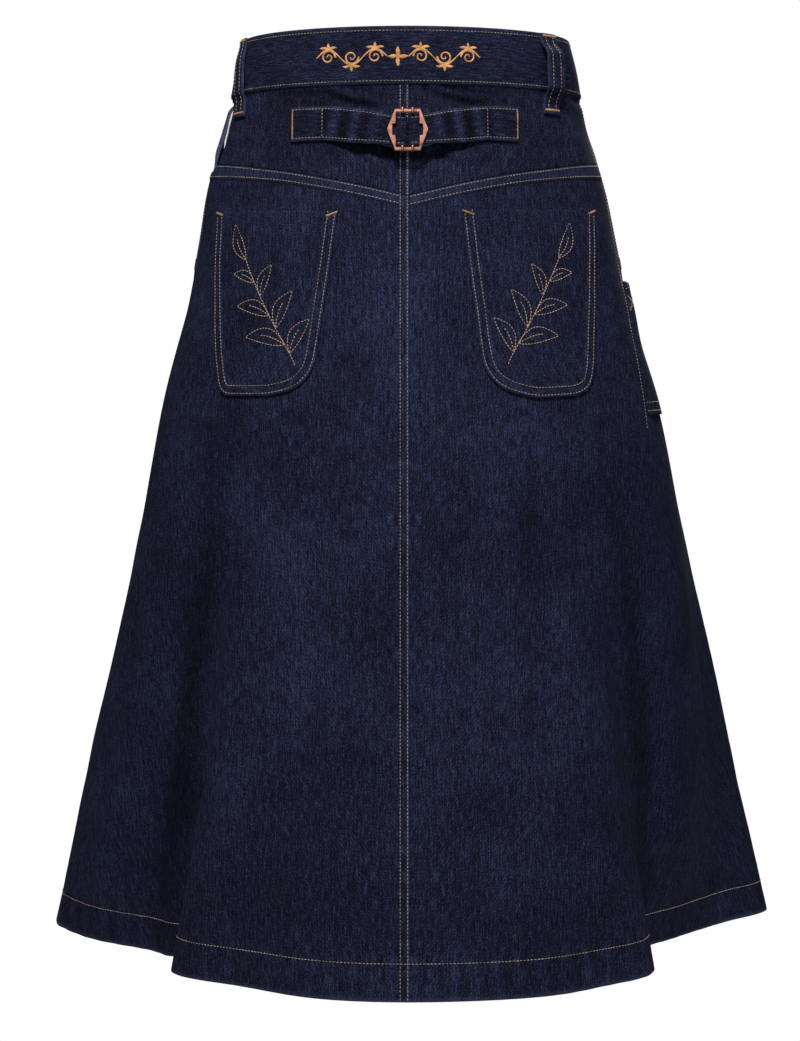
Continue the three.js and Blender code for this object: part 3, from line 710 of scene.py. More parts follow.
@dataclass(frozen=True)
class IndigoDenim:
    """Rigid indigo denim: a 3/1 twill of blue warp over pale weft, washed once.

    To the eye it is a matt near-black blue, with fine lengthwise streaks where thick and thin
    warp yarns took the dye unevenly, a diagonal grain, and paler edges where seams stand out.
    """

    name: str = "indigo_twill_denim"
    deep: str = "#06060c"
    middle: str = "#18192a"
    light: str = "#2e3957"
    rubbed: str = "#4a5474"
    weft: str = "#4a5066"
    yarn: float = 1.05
    twill: float = 1.0
    slub_length: float = 11.0
    cloud: float = 60.0
    bump: float = 0.16

    def make(self) -> bpy.types.Material:
        """Builds the material.

        Streaks are noise stretched along the warp, grain is finer noise, clouds are slow noise.
        They share out three blues. A diagonal wave gives the twill's ribs. The true rib is
        0.6 mm, drawn twice as coarse so that it shows in the picture.

        Returns:
            The material.
        """
        material, tree, shader = new_material(self.name)
        uv = add_node(tree, "ShaderNodeUVMap", {"uv_map": "Cloth"}).outputs["UV"]
        across, along = 1000 / self.yarn, 1000 / self.slub_length
        stretched = add_node(
            tree, "ShaderNodeMapping", links={"Vector": uv, "Scale": (across, along, 1)}
        ).outputs["Vector"]
        streaks = add_node(
            tree,
            "ShaderNodeTexNoise",
            {"noise_dimensions": "2D"},
            {"Vector": stretched, "Scale": 1.0, "Detail": 3.0, "Roughness": 0.6},
        ).outputs["Fac"]
        weft_wise = add_node(
            tree, "ShaderNodeMapping", links={"Vector": uv, "Scale": (along * 1.7, across, 1)}
        ).outputs["Vector"]
        picks = add_node(
            tree,
            "ShaderNodeTexNoise",
            {"noise_dimensions": "2D"},
            {"Vector": weft_wise, "Scale": 1.0, "Detail": 2.0, "Roughness": 0.6},
        ).outputs["Fac"]
        grain = add_node(
            tree,
            "ShaderNodeTexNoise",
            {"noise_dimensions": "2D"},
            {"Vector": uv, "Scale": 1000 / 1.35, "Detail": 2.0, "Roughness": 0.7},
        ).outputs["Fac"]
        place = add_node(tree, "ShaderNodeTexCoord").outputs["Object"]
        clouds = add_node(
            tree,
            "ShaderNodeTexNoise",
            links={"Vector": place, "Scale": 1000 / self.cloud, "Detail": 4.0, "Roughness": 0.6},
        ).outputs["Fac"]
        long_wise = add_node(
            tree, "ShaderNodeMapping", links={"Vector": uv, "Scale": (across / 3.2, along / 9, 1)}
        ).outputs["Vector"]
        bands = add_node(
            tree,
            "ShaderNodeTexNoise",
            {"noise_dimensions": "2D"},
            {"Vector": long_wise, "Scale": 1.0, "Detail": 2.0, "Roughness": 0.5},
        ).outputs["Fac"]
        ribs = add_node(
            tree,
            "ShaderNodeTexWave",
            {"bands_direction": "DIAGONAL"},
            {"Vector": uv, "Scale": 1000 / self.twill / 6.3, "Distortion": 2.0, "Detail": 1.0},
        ).outputs["Fac"]
        tone = self.blend(tree, streaks, grain, 0.42)
        tone = self.blend(tree, tone, picks, 0.2)
        tone = self.blend(tree, tone, bands, 0.09)
        tone = self.blend(tree, tone, clouds, 0.12)
        tone = self.blend(tree, tone, ribs, 0.035)
        # The tone mark adds painted shade and painted light to the blues: darker fold valleys, creases,
        # puckers and the place under the buckle, a paler seat and crests, and bands standing in for the
        # strap's folds.
        painted_light_shade_and_tone = add_node(tree, "ShaderNodeAttribute", {"attribute_name": "tone"}).outputs["Fac"]
        tone = add_node(tree, "ShaderNodeMath", {"operation": "ADD"}, {0: tone, 1: painted_light_shade_and_tone}).outputs[0]
        blue = colour_ramp(
            tree, tone, [(0.37, self.deep), (0.5, self.middle), (0.63, self.light)]
        )
        wear = add_node(tree, "ShaderNodeAttribute", {"attribute_name": "wear"}).outputs["Fac"]
        patchy = add_node(
            tree, "ShaderNodeMath", {"operation": "MULTIPLY"}, {0: wear, 1: grain}
        ).outputs[0]
        worn = self.mix(tree, patchy, blue, self.rubbed)
        inside = add_node(tree, "ShaderNodeAttribute", {"attribute_name": "inside"}).outputs["Fac"]
        wrong_side = colour_ramp(tree, tone, [(0.38, self.light), (0.62, self.weft)])
        colour = self.mix(tree, inside, worn, wrong_side)
        tree.links.new(colour, shader.inputs["Base Color"])
        height = self.blend(tree, grain, streaks, 0.5)
        bump = add_node(
            tree,
            "ShaderNodeBump",
            links={"Height": height, "Strength": 0.5, "Distance": self.bump * MM},
        ).outputs["Normal"]
        tree.links.new(bump, shader.inputs["Normal"])
        shader.inputs["Roughness"].default_value = 0.92
        shader.inputs["IOR"].default_value = 1.45
        shader.inputs["Specular IOR Level"].default_value = 0.06
        return material

    @staticmethod
    def blend(
        tree: bpy.types.NodeTree,
        first: bpy.types.NodeSocket,
        second: bpy.types.NodeSocket,
        share: float,
    ) -> bpy.types.NodeSocket:
        """Mixes two grey values by a fixed share."""
        return add_node(
            tree, "ShaderNodeMix", {"data_type": "FLOAT"}, {0: share, 2: first, 3: second}
        ).outputs[0]

    @staticmethod
    def mix(
        tree: bpy.types.NodeTree,
        factor: bpy.types.NodeSocket,
        first: bpy.types.NodeSocket,
        second: bpy.types.NodeSocket | str,
    ) -> bpy.types.NodeSocket:
        """Mixes two colours by a factor, the second a socket or a hex colour."""
        other = linear(second) if isinstance(second, str) else second
        return add_node(
            tree, "ShaderNodeMix", {"data_type": "RGBA"}, {0: factor, 6: first, 7: other}
        ).outputs[2]


@dataclass(frozen=True)
class Pocketing:
    """Plain-woven white cotton pocketing: soft, matt and a little uneven in its threads."""

    name: str = "white_cotton_pocketing"
    light: str = "#ece8df"
    shade: str = "#cfcabf"
    thread: float = 1.0

    def make(self) -> bpy.types.Material:
        """Builds the material: a fine checker of threads as noise, with a low bump."""
        material, tree, shader = new_material(self.name)
        uv = add_node(tree, "ShaderNodeUVMap", {"uv_map": "Cloth"}).outputs["UV"]
        threads = add_node(
            tree,
            "ShaderNodeTexNoise",
            {"noise_dimensions": "2D"},
            {"Vector": uv, "Scale": 1000 / self.thread, "Detail": 2.0},
        ).outputs["Fac"]
        colour = colour_ramp(tree, threads, [(0.35, self.shade), (0.65, self.light)])
        tree.links.new(colour, shader.inputs["Base Color"])
        bump = add_node(
            tree, "ShaderNodeBump", links={"Height": threads, "Strength": 0.4, "Distance": 0.0001}
        ).outputs["Normal"]
        tree.links.new(bump, shader.inputs["Normal"])
        shader.inputs["Roughness"].default_value = 0.9
        return material


@dataclass(frozen=True)
class Thread:
    """Spun polyester topstitch thread: matt and tan, a touch darker in its ply grooves."""

    name: str = "tan_topstitch_thread"
    light: str = "#a8937a"
    shade: str = "#6e5c4a"
    patch: float = 9.0

    def make(self) -> bpy.types.Material:
        """Builds the material: two tones by a slow noise along the rows and a fine one."""
        material, tree, shader = new_material(self.name)
        place = add_node(tree, "ShaderNodeTexCoord").outputs["Object"]
        slow = add_node(
            tree, "ShaderNodeTexNoise", links={"Vector": place, "Scale": 1000 / self.patch}
        ).outputs["Fac"]
        colour = colour_ramp(tree, slow, [(0.32, self.shade), (0.62, self.light)])
        tree.links.new(colour, shader.inputs["Base Color"])
        ply = add_node(
            tree, "ShaderNodeTexNoise", links={"Vector": place, "Scale": 1000 / 0.4}
        ).outputs["Fac"]
        bump = add_node(
            tree, "ShaderNodeBump", links={"Height": ply, "Strength": 0.3, "Distance": 0.0001}
        ).outputs["Normal"]
        tree.links.new(bump, shader.inputs["Normal"])
        shader.inputs["Roughness"].default_value = 0.7
        shader.inputs["Sheen Weight"].default_value = 0.1
        return material


@dataclass(frozen=True)
class CopperPlate:
    """Zinc alloy with satin copper plate: rosy brown, softly polished, duller in hollows."""

    name: str = "satin_copper_plate"
    light: str = "#855c4e"
    shade: str = "#4c322a"
    patch: float = 6.0

    def make(self) -> bpy.types.Material:
        """Builds the material: tone and gloss vary together by a slow noise."""
        material, tree, shader = new_material(self.name)
        place = add_node(tree, "ShaderNodeTexCoord").outputs["Object"]
        patches = add_node(
            tree,
            "ShaderNodeTexNoise",
            links={"Vector": place, "Scale": 1000 / self.patch, "Detail": 3.0},
        ).outputs["Fac"]
        colour = colour_ramp(tree, patches, [(0.3, self.shade), (0.62, self.light)])
        tree.links.new(colour, shader.inputs["Base Color"])
        gloss = add_node(
            tree, "ShaderNodeMapRange", links={"Value": patches, "To Min": 0.42, "To Max": 0.26}
        ).outputs["Result"]
        tree.links.new(gloss, shader.inputs["Roughness"])
        shader.inputs["Metallic"].default_value = 1.0
        return material


@dataclass(frozen=True)
class StudioPaper:
    """Seamless white background paper: matt and even, with a faint mottle."""

    name: str = "white_background_paper"
    light: str = "#fbfbfa"
    shade: str = "#f4f4f3"

    def make(self) -> bpy.types.Material:
        """Builds the material: two near-whites by a broad noise."""
        material, tree, shader = new_material(self.name)
        place = add_node(tree, "ShaderNodeTexCoord").outputs["Object"]
        mottle = add_node(
            tree, "ShaderNodeTexNoise", links={"Vector": place, "Scale": 3.0}
        ).outputs["Fac"]
        colour = colour_ramp(tree, mottle, [(0.3, self.shade), (0.7, self.light)])
        tree.links.new(colour, shader.inputs["Base Color"])
        shader.inputs["Roughness"].default_value = 0.95
        return material


@dataclass
class Wardrobe:
    """The finishes, each made once, and the calls that every finished piece gets."""

    denim: bpy.types.Material = field(init=False)
    pocketing: bpy.types.Material = field(init=False)
    thread: bpy.types.Material = field(init=False)
    gold: bpy.types.Material = field(init=False)
    amber: bpy.types.Material = field(init=False)
    rust: bpy.types.Material = field(init=False)
    copper: bpy.types.Material = field(init=False)

    def __post_init__(self) -> None:
        """Makes the finishes."""
        self.denim = IndigoDenim().make()
        self.pocketing = Pocketing().make()
        self.thread = Thread().make()
        self.gold = Thread("gold_embroidery_thread", "#dca263", "#a9743a", 5.0).make()
        self.amber = Thread("amber_topstitch_thread", "#c29f7c", "#937557", 6.0).make()
        self.rust = Thread("rust_bar_tack_thread", "#a3764f", "#704c2f", 6.0).make()
        self.copper = CopperPlate().make()

    def dress(
        self, thing: bpy.types.Object, material: bpy.types.Material, slot: str, *nodes: str
    ) -> bpy.types.Object:
        """Gives a piece its finish and its body, and hides the nodes that it stands for."""
        thing.data.materials.append(material)
        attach(thing, "root")
        if nodes:
            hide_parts(*nodes)
        LOG.info("%s: %d faces", thing.name, len(thing.data.polygons))
        return thing

    def cloth(
        self,
        piece: Piece,
        node: str,
        held: Held,
        rests_on: Sequence[str] = (),
        cotton: bool = False,
    ) -> bpy.types.Object:
        """Dresses a piece of cloth."""
        material, slot = (self.pocketing, "pocketing") if cotton else (self.denim, "denim")
        self.dress(piece.thing, material, slot, node)
        return piece.thing


# Stitching


class Needlework:
    """Collects rows of stitches and makes them one mesh.

    A stitch is a short capsule along its row: rings of six points whose radius and height follow
    a low arch, and a point at each end that dips into the cloth.
    """

    RINGS = np.array([0.07, 0.32, 0.68, 0.93])
    GIRTHS = np.array([0.6, 1.0, 1.0, 0.6])
    ARCH = np.array([-0.3, 0.3, 0.3, -0.3])
    SIDES = 6

    def __init__(self, pitch: float = 3.0, length: float = 2.35, width: float = 0.6) -> None:
        """Sets the stitch: its pitch, its length and the thread's width in mm."""
        self.pitch = pitch
        self.length = length
        self.width = width
        self.starts: list[Array] = []
        self.ends: list[Array] = []
        self.ups: list[Array] = []
        self.widths: list[Array] = []

    def add(self, starts: Array, ends: Array, ups: Array, width: float | None = None) -> None:
        """Adds separate stitches by their ends and the way that faces out of the cloth."""
        self.starts.append(starts)
        self.ends.append(ends)
        self.ups.append(ups)
        self.widths.append(np.full(len(starts), width or self.width))

    def row(self, points: Array, ups: Array) -> None:
        """Adds a row of stitches along a line of points, each a pitch after the last."""
        reach = np.concatenate([[0], np.cumsum(np.linalg.norm(np.diff(points, axis=0), axis=1))])
        count = max(int(reach[-1] / self.pitch), 1)
        pitch = reach[-1] / count
        begin = (np.arange(count) + 0.5) * pitch - self.length / 2

        def at(where: Array, values: Array) -> Array:
            """The values a given way along the row."""
            return np.stack([np.interp(where, reach, values[:, k]) for k in range(3)], axis=-1)

        self.add(at(begin, points), at(begin + self.length, points), at(begin, ups))

    def tack(self, points: Array, ups: Array, wide: float = 2.2, count: int = 14) -> None:
        """Adds a bar tack: stitches side by side across a short line."""
        share = (np.arange(count) + 0.5) / count
        reach = np.linspace(0, 1, len(points))
        centre = np.stack([np.interp(share, reach, points[:, k]) for k in range(3)], axis=-1)
        up = unit(np.stack([np.interp(share, reach, ups[:, k]) for k in range(3)], axis=-1))
        run = unit(points[-1:] - points[:1])
        across = unit(np.cross(up, np.broadcast_to(run, up.shape))) * wide / 2
        slant = run * wide * 0.12
        centre = centre + up * 0.2
        self.add(centre - across - slant, centre + across + slant, up, width=0.8)

    def make(self, name: str) -> bpy.types.Object:
        """Makes all the stitches one object."""
        start, end = np.concatenate(self.starts), np.concatenate(self.ends)
        up = np.concatenate(self.ups)
        half = np.concatenate(self.widths)[:, None] / 2
        along = unit(end - start)
        side = unit(np.cross(up, along))
        up = unit(np.cross(along, side))
        turn = np.arange(self.SIDES) * 2 * np.pi / self.SIDES
        spine = lerp(start[:, None], end[:, None], self.RINGS[None, :, None])
        spine = spine + (up * half)[:, None] * self.ARCH[None, :, None]
        out = (
            side[:, None, None] * np.cos(turn)[None, None, :, None]
            + up[:, None, None] * np.sin(turn)[None, None, :, None]
        )
        size = half[:, None, None] * self.GIRTHS[None, :, None, None]
        rings = spine[:, :, None] + out * size
        dip = up * half * 0.8
        count = len(start)
        points = np.concatenate(
            [rings.reshape(count, -1, 3), (start - dip)[:, None], (end - dip)[:, None]], axis=1
        )
        sides, total = self.SIDES, len(self.RINGS) * self.SIDES
        ring = np.arange(total).reshape(-1, sides)
        closed = np.concatenate([ring, ring[:, :1]], axis=1)
        wall = quads(closed)
        first = np.stack([np.full(sides, total), closed[0, 1:], closed[0, :-1]], axis=-1)
        last = np.stack([np.full(sides, total + 1), closed[-1, :-1], closed[-1, 1:]], axis=-1)
        shift = np.arange(count)[:, None, None] * points.shape[1]
        faces = [
            (part[None] + shift).reshape(-1, part.shape[1])
            for part in (wall, np.concatenate([first, last]))
        ]
        return make_object(name, points.reshape(-1, 3), faces)


def body_line(
    angle: Array | float, z: Array | float, lift: Array | float
) -> tuple[Array, Array]:
    """Points and outward vectors along a line on the form, a given distance off it."""
    angle, z = np.broadcast_arrays(np.asarray(angle, float), np.asarray(z, float))
    return BODY.off(angle, z, lift), BODY.outward(angle, z)


def edge_band(distance: Array, width: float = 8.4, soft: float = 1.4) -> Array:
    """1 within a width of an edge and 0 beyond it, with a soft step between."""
    return 1 - smooth((distance - width) / soft)


# Distances from a lapped edge at which a grid needs a row
LAP_ROWS = (2.0, 4.5, 7.0, 8.4, 8.9, 9.4, 9.9, 10.6, 11.3, 12.0, 13.0)


# Distances from the centre front edges at which a grid needs a column
CENTRE_ROWS = (1.6, 2.4, 3.2, 4.0, 5.5, 6.4, 7.2, 8.0)


def lapped(count: int, span: float, start: Sequence[float], end: Sequence[float]) -> Array:
    """Shares of a span as edged gives them, with more rows at distances from its two ends."""
    extra = np.concatenate([np.array(start) / span, 1 - np.array(end) / span])
    return np.unique(np.round(np.concatenate([edged(count, span, CLOTH / 2), extra]), 7))


# The centre back seam's visible edge lies to the right of the middle; the left side laps over
CENTRE_SEAM = 2.2
UNDERLAP = 8.0
LAP_RISE = 0.8
LAP_DROP = 1.15
TWIN_ROWS = (1.5, 7.3)


@dataclass
class Waistband:
    """One band whose outer end laps over the inner end at centre front."""

    wardrobe: Wardrobe
    proud: float = 1.4
    thickness: float = 3.0
    under_end: float = 20.0
    outer_end: float = 18.0
    ramp: float = 22.0
    puff: float = 0.35
    top_row: float = 20.8
    low_row: float = -22.2

    def past(self, length: float) -> float:
        """The angle a length past centre front."""
        return 180.0 + float(degrees_for(length, 180, 0))

    def lift(self, angle: Array, z: Array) -> Array:
        """The outer face: proud of the body, puffed between its rows, and raised at the lap."""
        lap_from = self.past(-self.under_end - 2)
        ramp_from = self.past(-self.under_end - 2 - self.ramp)
        lap = smooth((angle - ramp_from) / (lap_from - ramp_from))
        puff = self.puff * np.sin(np.pi * np.clip((z - self.low_row) / 43.0, 0, 1))
        return self.proud + lap * (self.thickness + LAY_GAP) + puff

    def build(self) -> None:
        """Makes the band, its two rows of stitches and its embroidery."""
        start, end = -self.past(self.under_end), self.past(self.outer_end)
        u, v = meshgrid(edged(330, 900, 1.5), edged(15, 50, 1.5))
        angle, z = lerp(start, end, u), lerp(BAND_TOP, BAND_BOTTOM, v)
        lift = self.lift(angle, z)
        wear = 0.3 * edge_band(np.minimum(BAND_TOP - z, z - BAND_BOTTOM), 0.8, 1.5)
        outer, inner = BODY.off(angle, z, lift), BODY.off(angle, z, lift - self.thickness)
        piece = cloth_wall("waistband_denim", outer, inner, wear, 1.5, tone=-0.012, warp_along=True)
        self.wardrobe.cloth(piece, "waistband", Held.STRETCHED)
        work = Needlework()
        shown = np.linspace(-180 + float(degrees_for(19, 180, 0)), end - 0.6, 900)
        for height in (self.top_row, self.low_row):
            row = np.full(shown.shape, height)
            work.row(*body_line(shown, row, self.lift(shown, row)))
        down = np.linspace(self.top_row, self.low_row, 30)
        beside = np.full(down.shape, end - float(degrees_for(3, 180, 0)))
        work.row(*body_line(beside, down, self.lift(beside, down)))
        self.wardrobe.dress(work.make("waistband_stitching"), self.wardrobe.thread, "thread")
        self.embroider()

    def embroider(self) -> None:
        """Works a leafy scroll in gold satin stitch, mirrored about its middle."""
        centre, first, span, wave = -7.0, 9.0, 20.0, 6.6
        work = Needlework(width=0.62)

        def satin(x: Array, y: Array, wide: Array) -> None:
            """Lays slanting stitches side by side along a line, as wide as given at each place."""
            z = y - 1.5
            angle = GIRTH.angle(centre + x, z)
            points, ups = body_line(angle, z, self.lift(angle, z) + 0.12)
            reached = np.concatenate(
                [[0], np.cumsum(np.linalg.norm(np.diff(points, axis=0), axis=1))]
            )
            count = max(int(reached[-1] / 0.42), 4)
            where = np.linspace(0, reached[-1], count)
            lay = [np.interp(where, reached, points[:, k]) for k in range(3)]
            middle = np.stack(lay, axis=-1)
            up = unit(np.stack([np.interp(where, reached, ups[:, k]) for k in range(3)], axis=-1))
            run = unit(np.gradient(middle, axis=0))
            half = np.interp(where, reached, wide)[:, None] / 2
            across = (unit(np.cross(up, run)) + 0.35 * run) * half
            work.add(middle - across, middle + across, up)

        t = np.linspace(0, 1, 90)
        for way in (-1.0, 1.0):
            for k, crest in enumerate((1.0, -1.0, 1.0)):
                x0 = first + span * k
                satin(way * (x0 + span * t), crest * wave * np.sin(np.pi * t), 1.0 + np.sin(np.pi * t))
                turn = np.pi * (1 - 2.9 * t)
                r = 0.55 * span / 2 * (1 - t) ** 0.8 + 0.7
                middle = x0 + span / 2
                satin(
                    way * (middle + r * np.cos(turn)), crest * (0.2 + r * np.sin(turn)), 1.8 - 0.7 * t
                )
                for lean in (-52.0, 0.0, 52.0):
                    s = np.linspace(0, 1, 40)
                    size = 5.6 if lean == 0 else 7.4
                    bend = math.radians(90 - lean) - math.radians(lean) * 0.5 * s
                    satin(
                        way * (middle + size * s * np.cos(bend)),
                        crest * (wave + size * s * np.sin(bend)),
                        0.5 + 2.5 * np.sin(np.pi * s) ** 0.8,
                    )
        for turn in range(4):
            s = np.linspace(0.08, 1, 40)
            far = math.radians(90 * turn)
            petal = 1.0 + 2.8 * np.sin(np.pi * s) ** 0.8
            satin(8.0 * s * np.cos(far), 8.0 * s * np.sin(far), petal)
        self.wardrobe.dress(work.make("waistband_embroidery"), self.wardrobe.gold, "thread")


@dataclass
class BackBody:
    """The yokes and back panels, felled together at the V seam and the centre back seam."""

    wardrobe: Wardrobe
    tucked_top: float = BAND_BOTTOM + 2.5

    def inner_edge(self, z: Array, side: Side) -> Array:
        """The angle of a piece's edge at centre back: the left laps, the right lies under."""
        length = CENTRE_SEAM if side is Side.LEFT else CENTRE_SEAM - UNDERLAP
        return degrees_for(length, 0, z)

    def lap_lift(self, angle: Array, z: Array, side: Side) -> tuple[Array, Array]:
        """The rise beside the centre back seam, and how near its edge a point is.

        The left piece stands out over the seam allowance; the right one sinks beneath it.
        """
        gone = np.radians(angle) * BODY.radius(0, z) - CENTRE_SEAM
        if side is Side.LEFT:
            return LAP_RISE * edge_band(-gone), edge_band(-gone, 1.2, 1.6)
        return -LAP_DROP * (1 - smooth((gone + 0.4) / 1.5)), np.zeros(angle.shape)

    def yoke(self, side: Side) -> None:
        """Makes a yoke from the waistband to under the panel at the V seam."""
        start, end = ((), LAP_ROWS) if side is Side.LEFT else ((6.5, 7.4, 8.0, 8.6, 9.4), ())
        u = lapped(84, 172, start, end)
        down = np.concatenate([np.linspace(0, 1, 36), 1 + np.array([0.05, 0.1, 0.15, 0.2, 0.5, 1])])
        u, v = meshgrid(u, down)
        flat_z = lerp(self.tucked_top, -83.0, np.minimum(v, 1))
        edges = self.inner_edge(flat_z, side), side_seam(flat_z, side)
        left, right = edges[::-1] if side is Side.LEFT else edges
        angle = lerp(left, right, u)
        seam = yoke_seam(angle)
        z = np.where(v <= 1, lerp(self.tucked_top, seam + 1.2, v), seam + 1.2 - 9.2 * (v - 1))
        lift, near = self.lap_lift(angle, z, side)
        under = smooth((seam + 1.0 - z) / 1.5)
        lift = lerp(lift, -LAP_DROP, under)
        piece = body_cloth(
            f"yoke_{side.word}_denim", angle, z, lift, wear=0.6 * near,
            grain_from_end=side is Side.LEFT,
        )
        self.wardrobe.cloth(piece, f"yoke_{side.word}", Held.HUNG, ["waistband_denim"])

    def panel(self, side: Side) -> None:
        """Makes a back panel from the V seam to the hem."""
        start, end = ((), LAP_ROWS) if side is Side.LEFT else ((6.5, 7.4, 8.0, 8.6, 9.4), ())
        u, v = meshgrid(lapped(128, 300, start, end), lapped(196, 675, LAP_ROWS, (24, 27, 30)))
        flat_z = lerp(-83.0, HEM, v)
        edges = self.inner_edge(flat_z, side), side_seam(flat_z, side)
        left, right = edges[::-1] if side is Side.LEFT else edges
        angle = lerp(left, right, u)
        top = yoke_seam(angle)
        z = lerp(top - 0.1, HEM, v)
        lift, near = self.lap_lift(angle, z, side)
        below = (top - z) * 0.96
        in_lap = 1.0 if side is Side.LEFT else smooth(
            (np.radians(angle) * BODY.radius(0, z) - CENTRE_SEAM) / 1.5
        )
        felled = edge_band(below, 8.4 + yoke_spread(angle)) * in_lap
        if side is Side.LEFT:
            lift = np.maximum(lift, LAP_RISE * felled)
        else:
            lift = lift + LAP_RISE * felled
        thickness = lerp(CLOTH, HEM_CLOTH, smooth((HEM_TOP + 1.5 - z) / 3.0))
        wear = 0.35 * np.maximum(near, edge_band(below, 1.0, 1.6) * in_lap)
        wear = np.maximum(wear, 0.12 * felled)
        wear = np.maximum(wear, 0.45 * edge_band(z - HEM, 1.2, 2.2))
        piece = body_cloth(
            f"back_{side.word}_denim", angle, z, lift, thickness, wear,
            grain_from_end=side is Side.LEFT,
        )
        rests = [f"yoke_{side.word}_denim"]
        self.wardrobe.cloth(piece, f"back_{side.word}", Held.HUNG, rests)

    def stitch(self) -> None:
        """Sews the V seam and the centre back seam with twin rows, and the hem with one."""
        work = Needlework()
        for inset in TWIN_ROWS:
            down = np.linspace(BAND_BOTTOM - 0.5, HEM + 0.8, 500)
            angle = degrees_for(CENTRE_SEAM - inset, 0, down)
            work.row(*body_line(angle, down, LAP_RISE))
            for side in Side:
                edge = float(side_seam(-83.0, side)) * 0.995
                inner = degrees_for(CENTRE_SEAM - (7.8 if side is Side.LEFT else -0.4), 0, -120)
                angle = np.linspace(float(inner), edge, 200)
                spread = yoke_spread(angle) if inset > 2 else 0.0
                work.row(*body_line(angle, yoke_seam(angle) - inset / 0.96 - spread, LAP_RISE))
        height = HEM_TOP + 1.5
        left, right = (float(side_seam(height, side)) for side in Side)
        angle = np.linspace(left, right, 900)
        lift = LAP_RISE * edge_band(np.abs(np.radians(angle) * 240 + 2.7), 4.6, 1.2)
        work.row(*body_line(angle, height, lift))
        self.wardrobe.dress(work.make("back_stitching"), self.wardrobe.thread, "thread")

    def build(self) -> None:
        """Makes the two yokes, the two panels and their stitching."""
        for side in Side:
            self.yoke(side)
            self.panel(side)
        self.stitch()


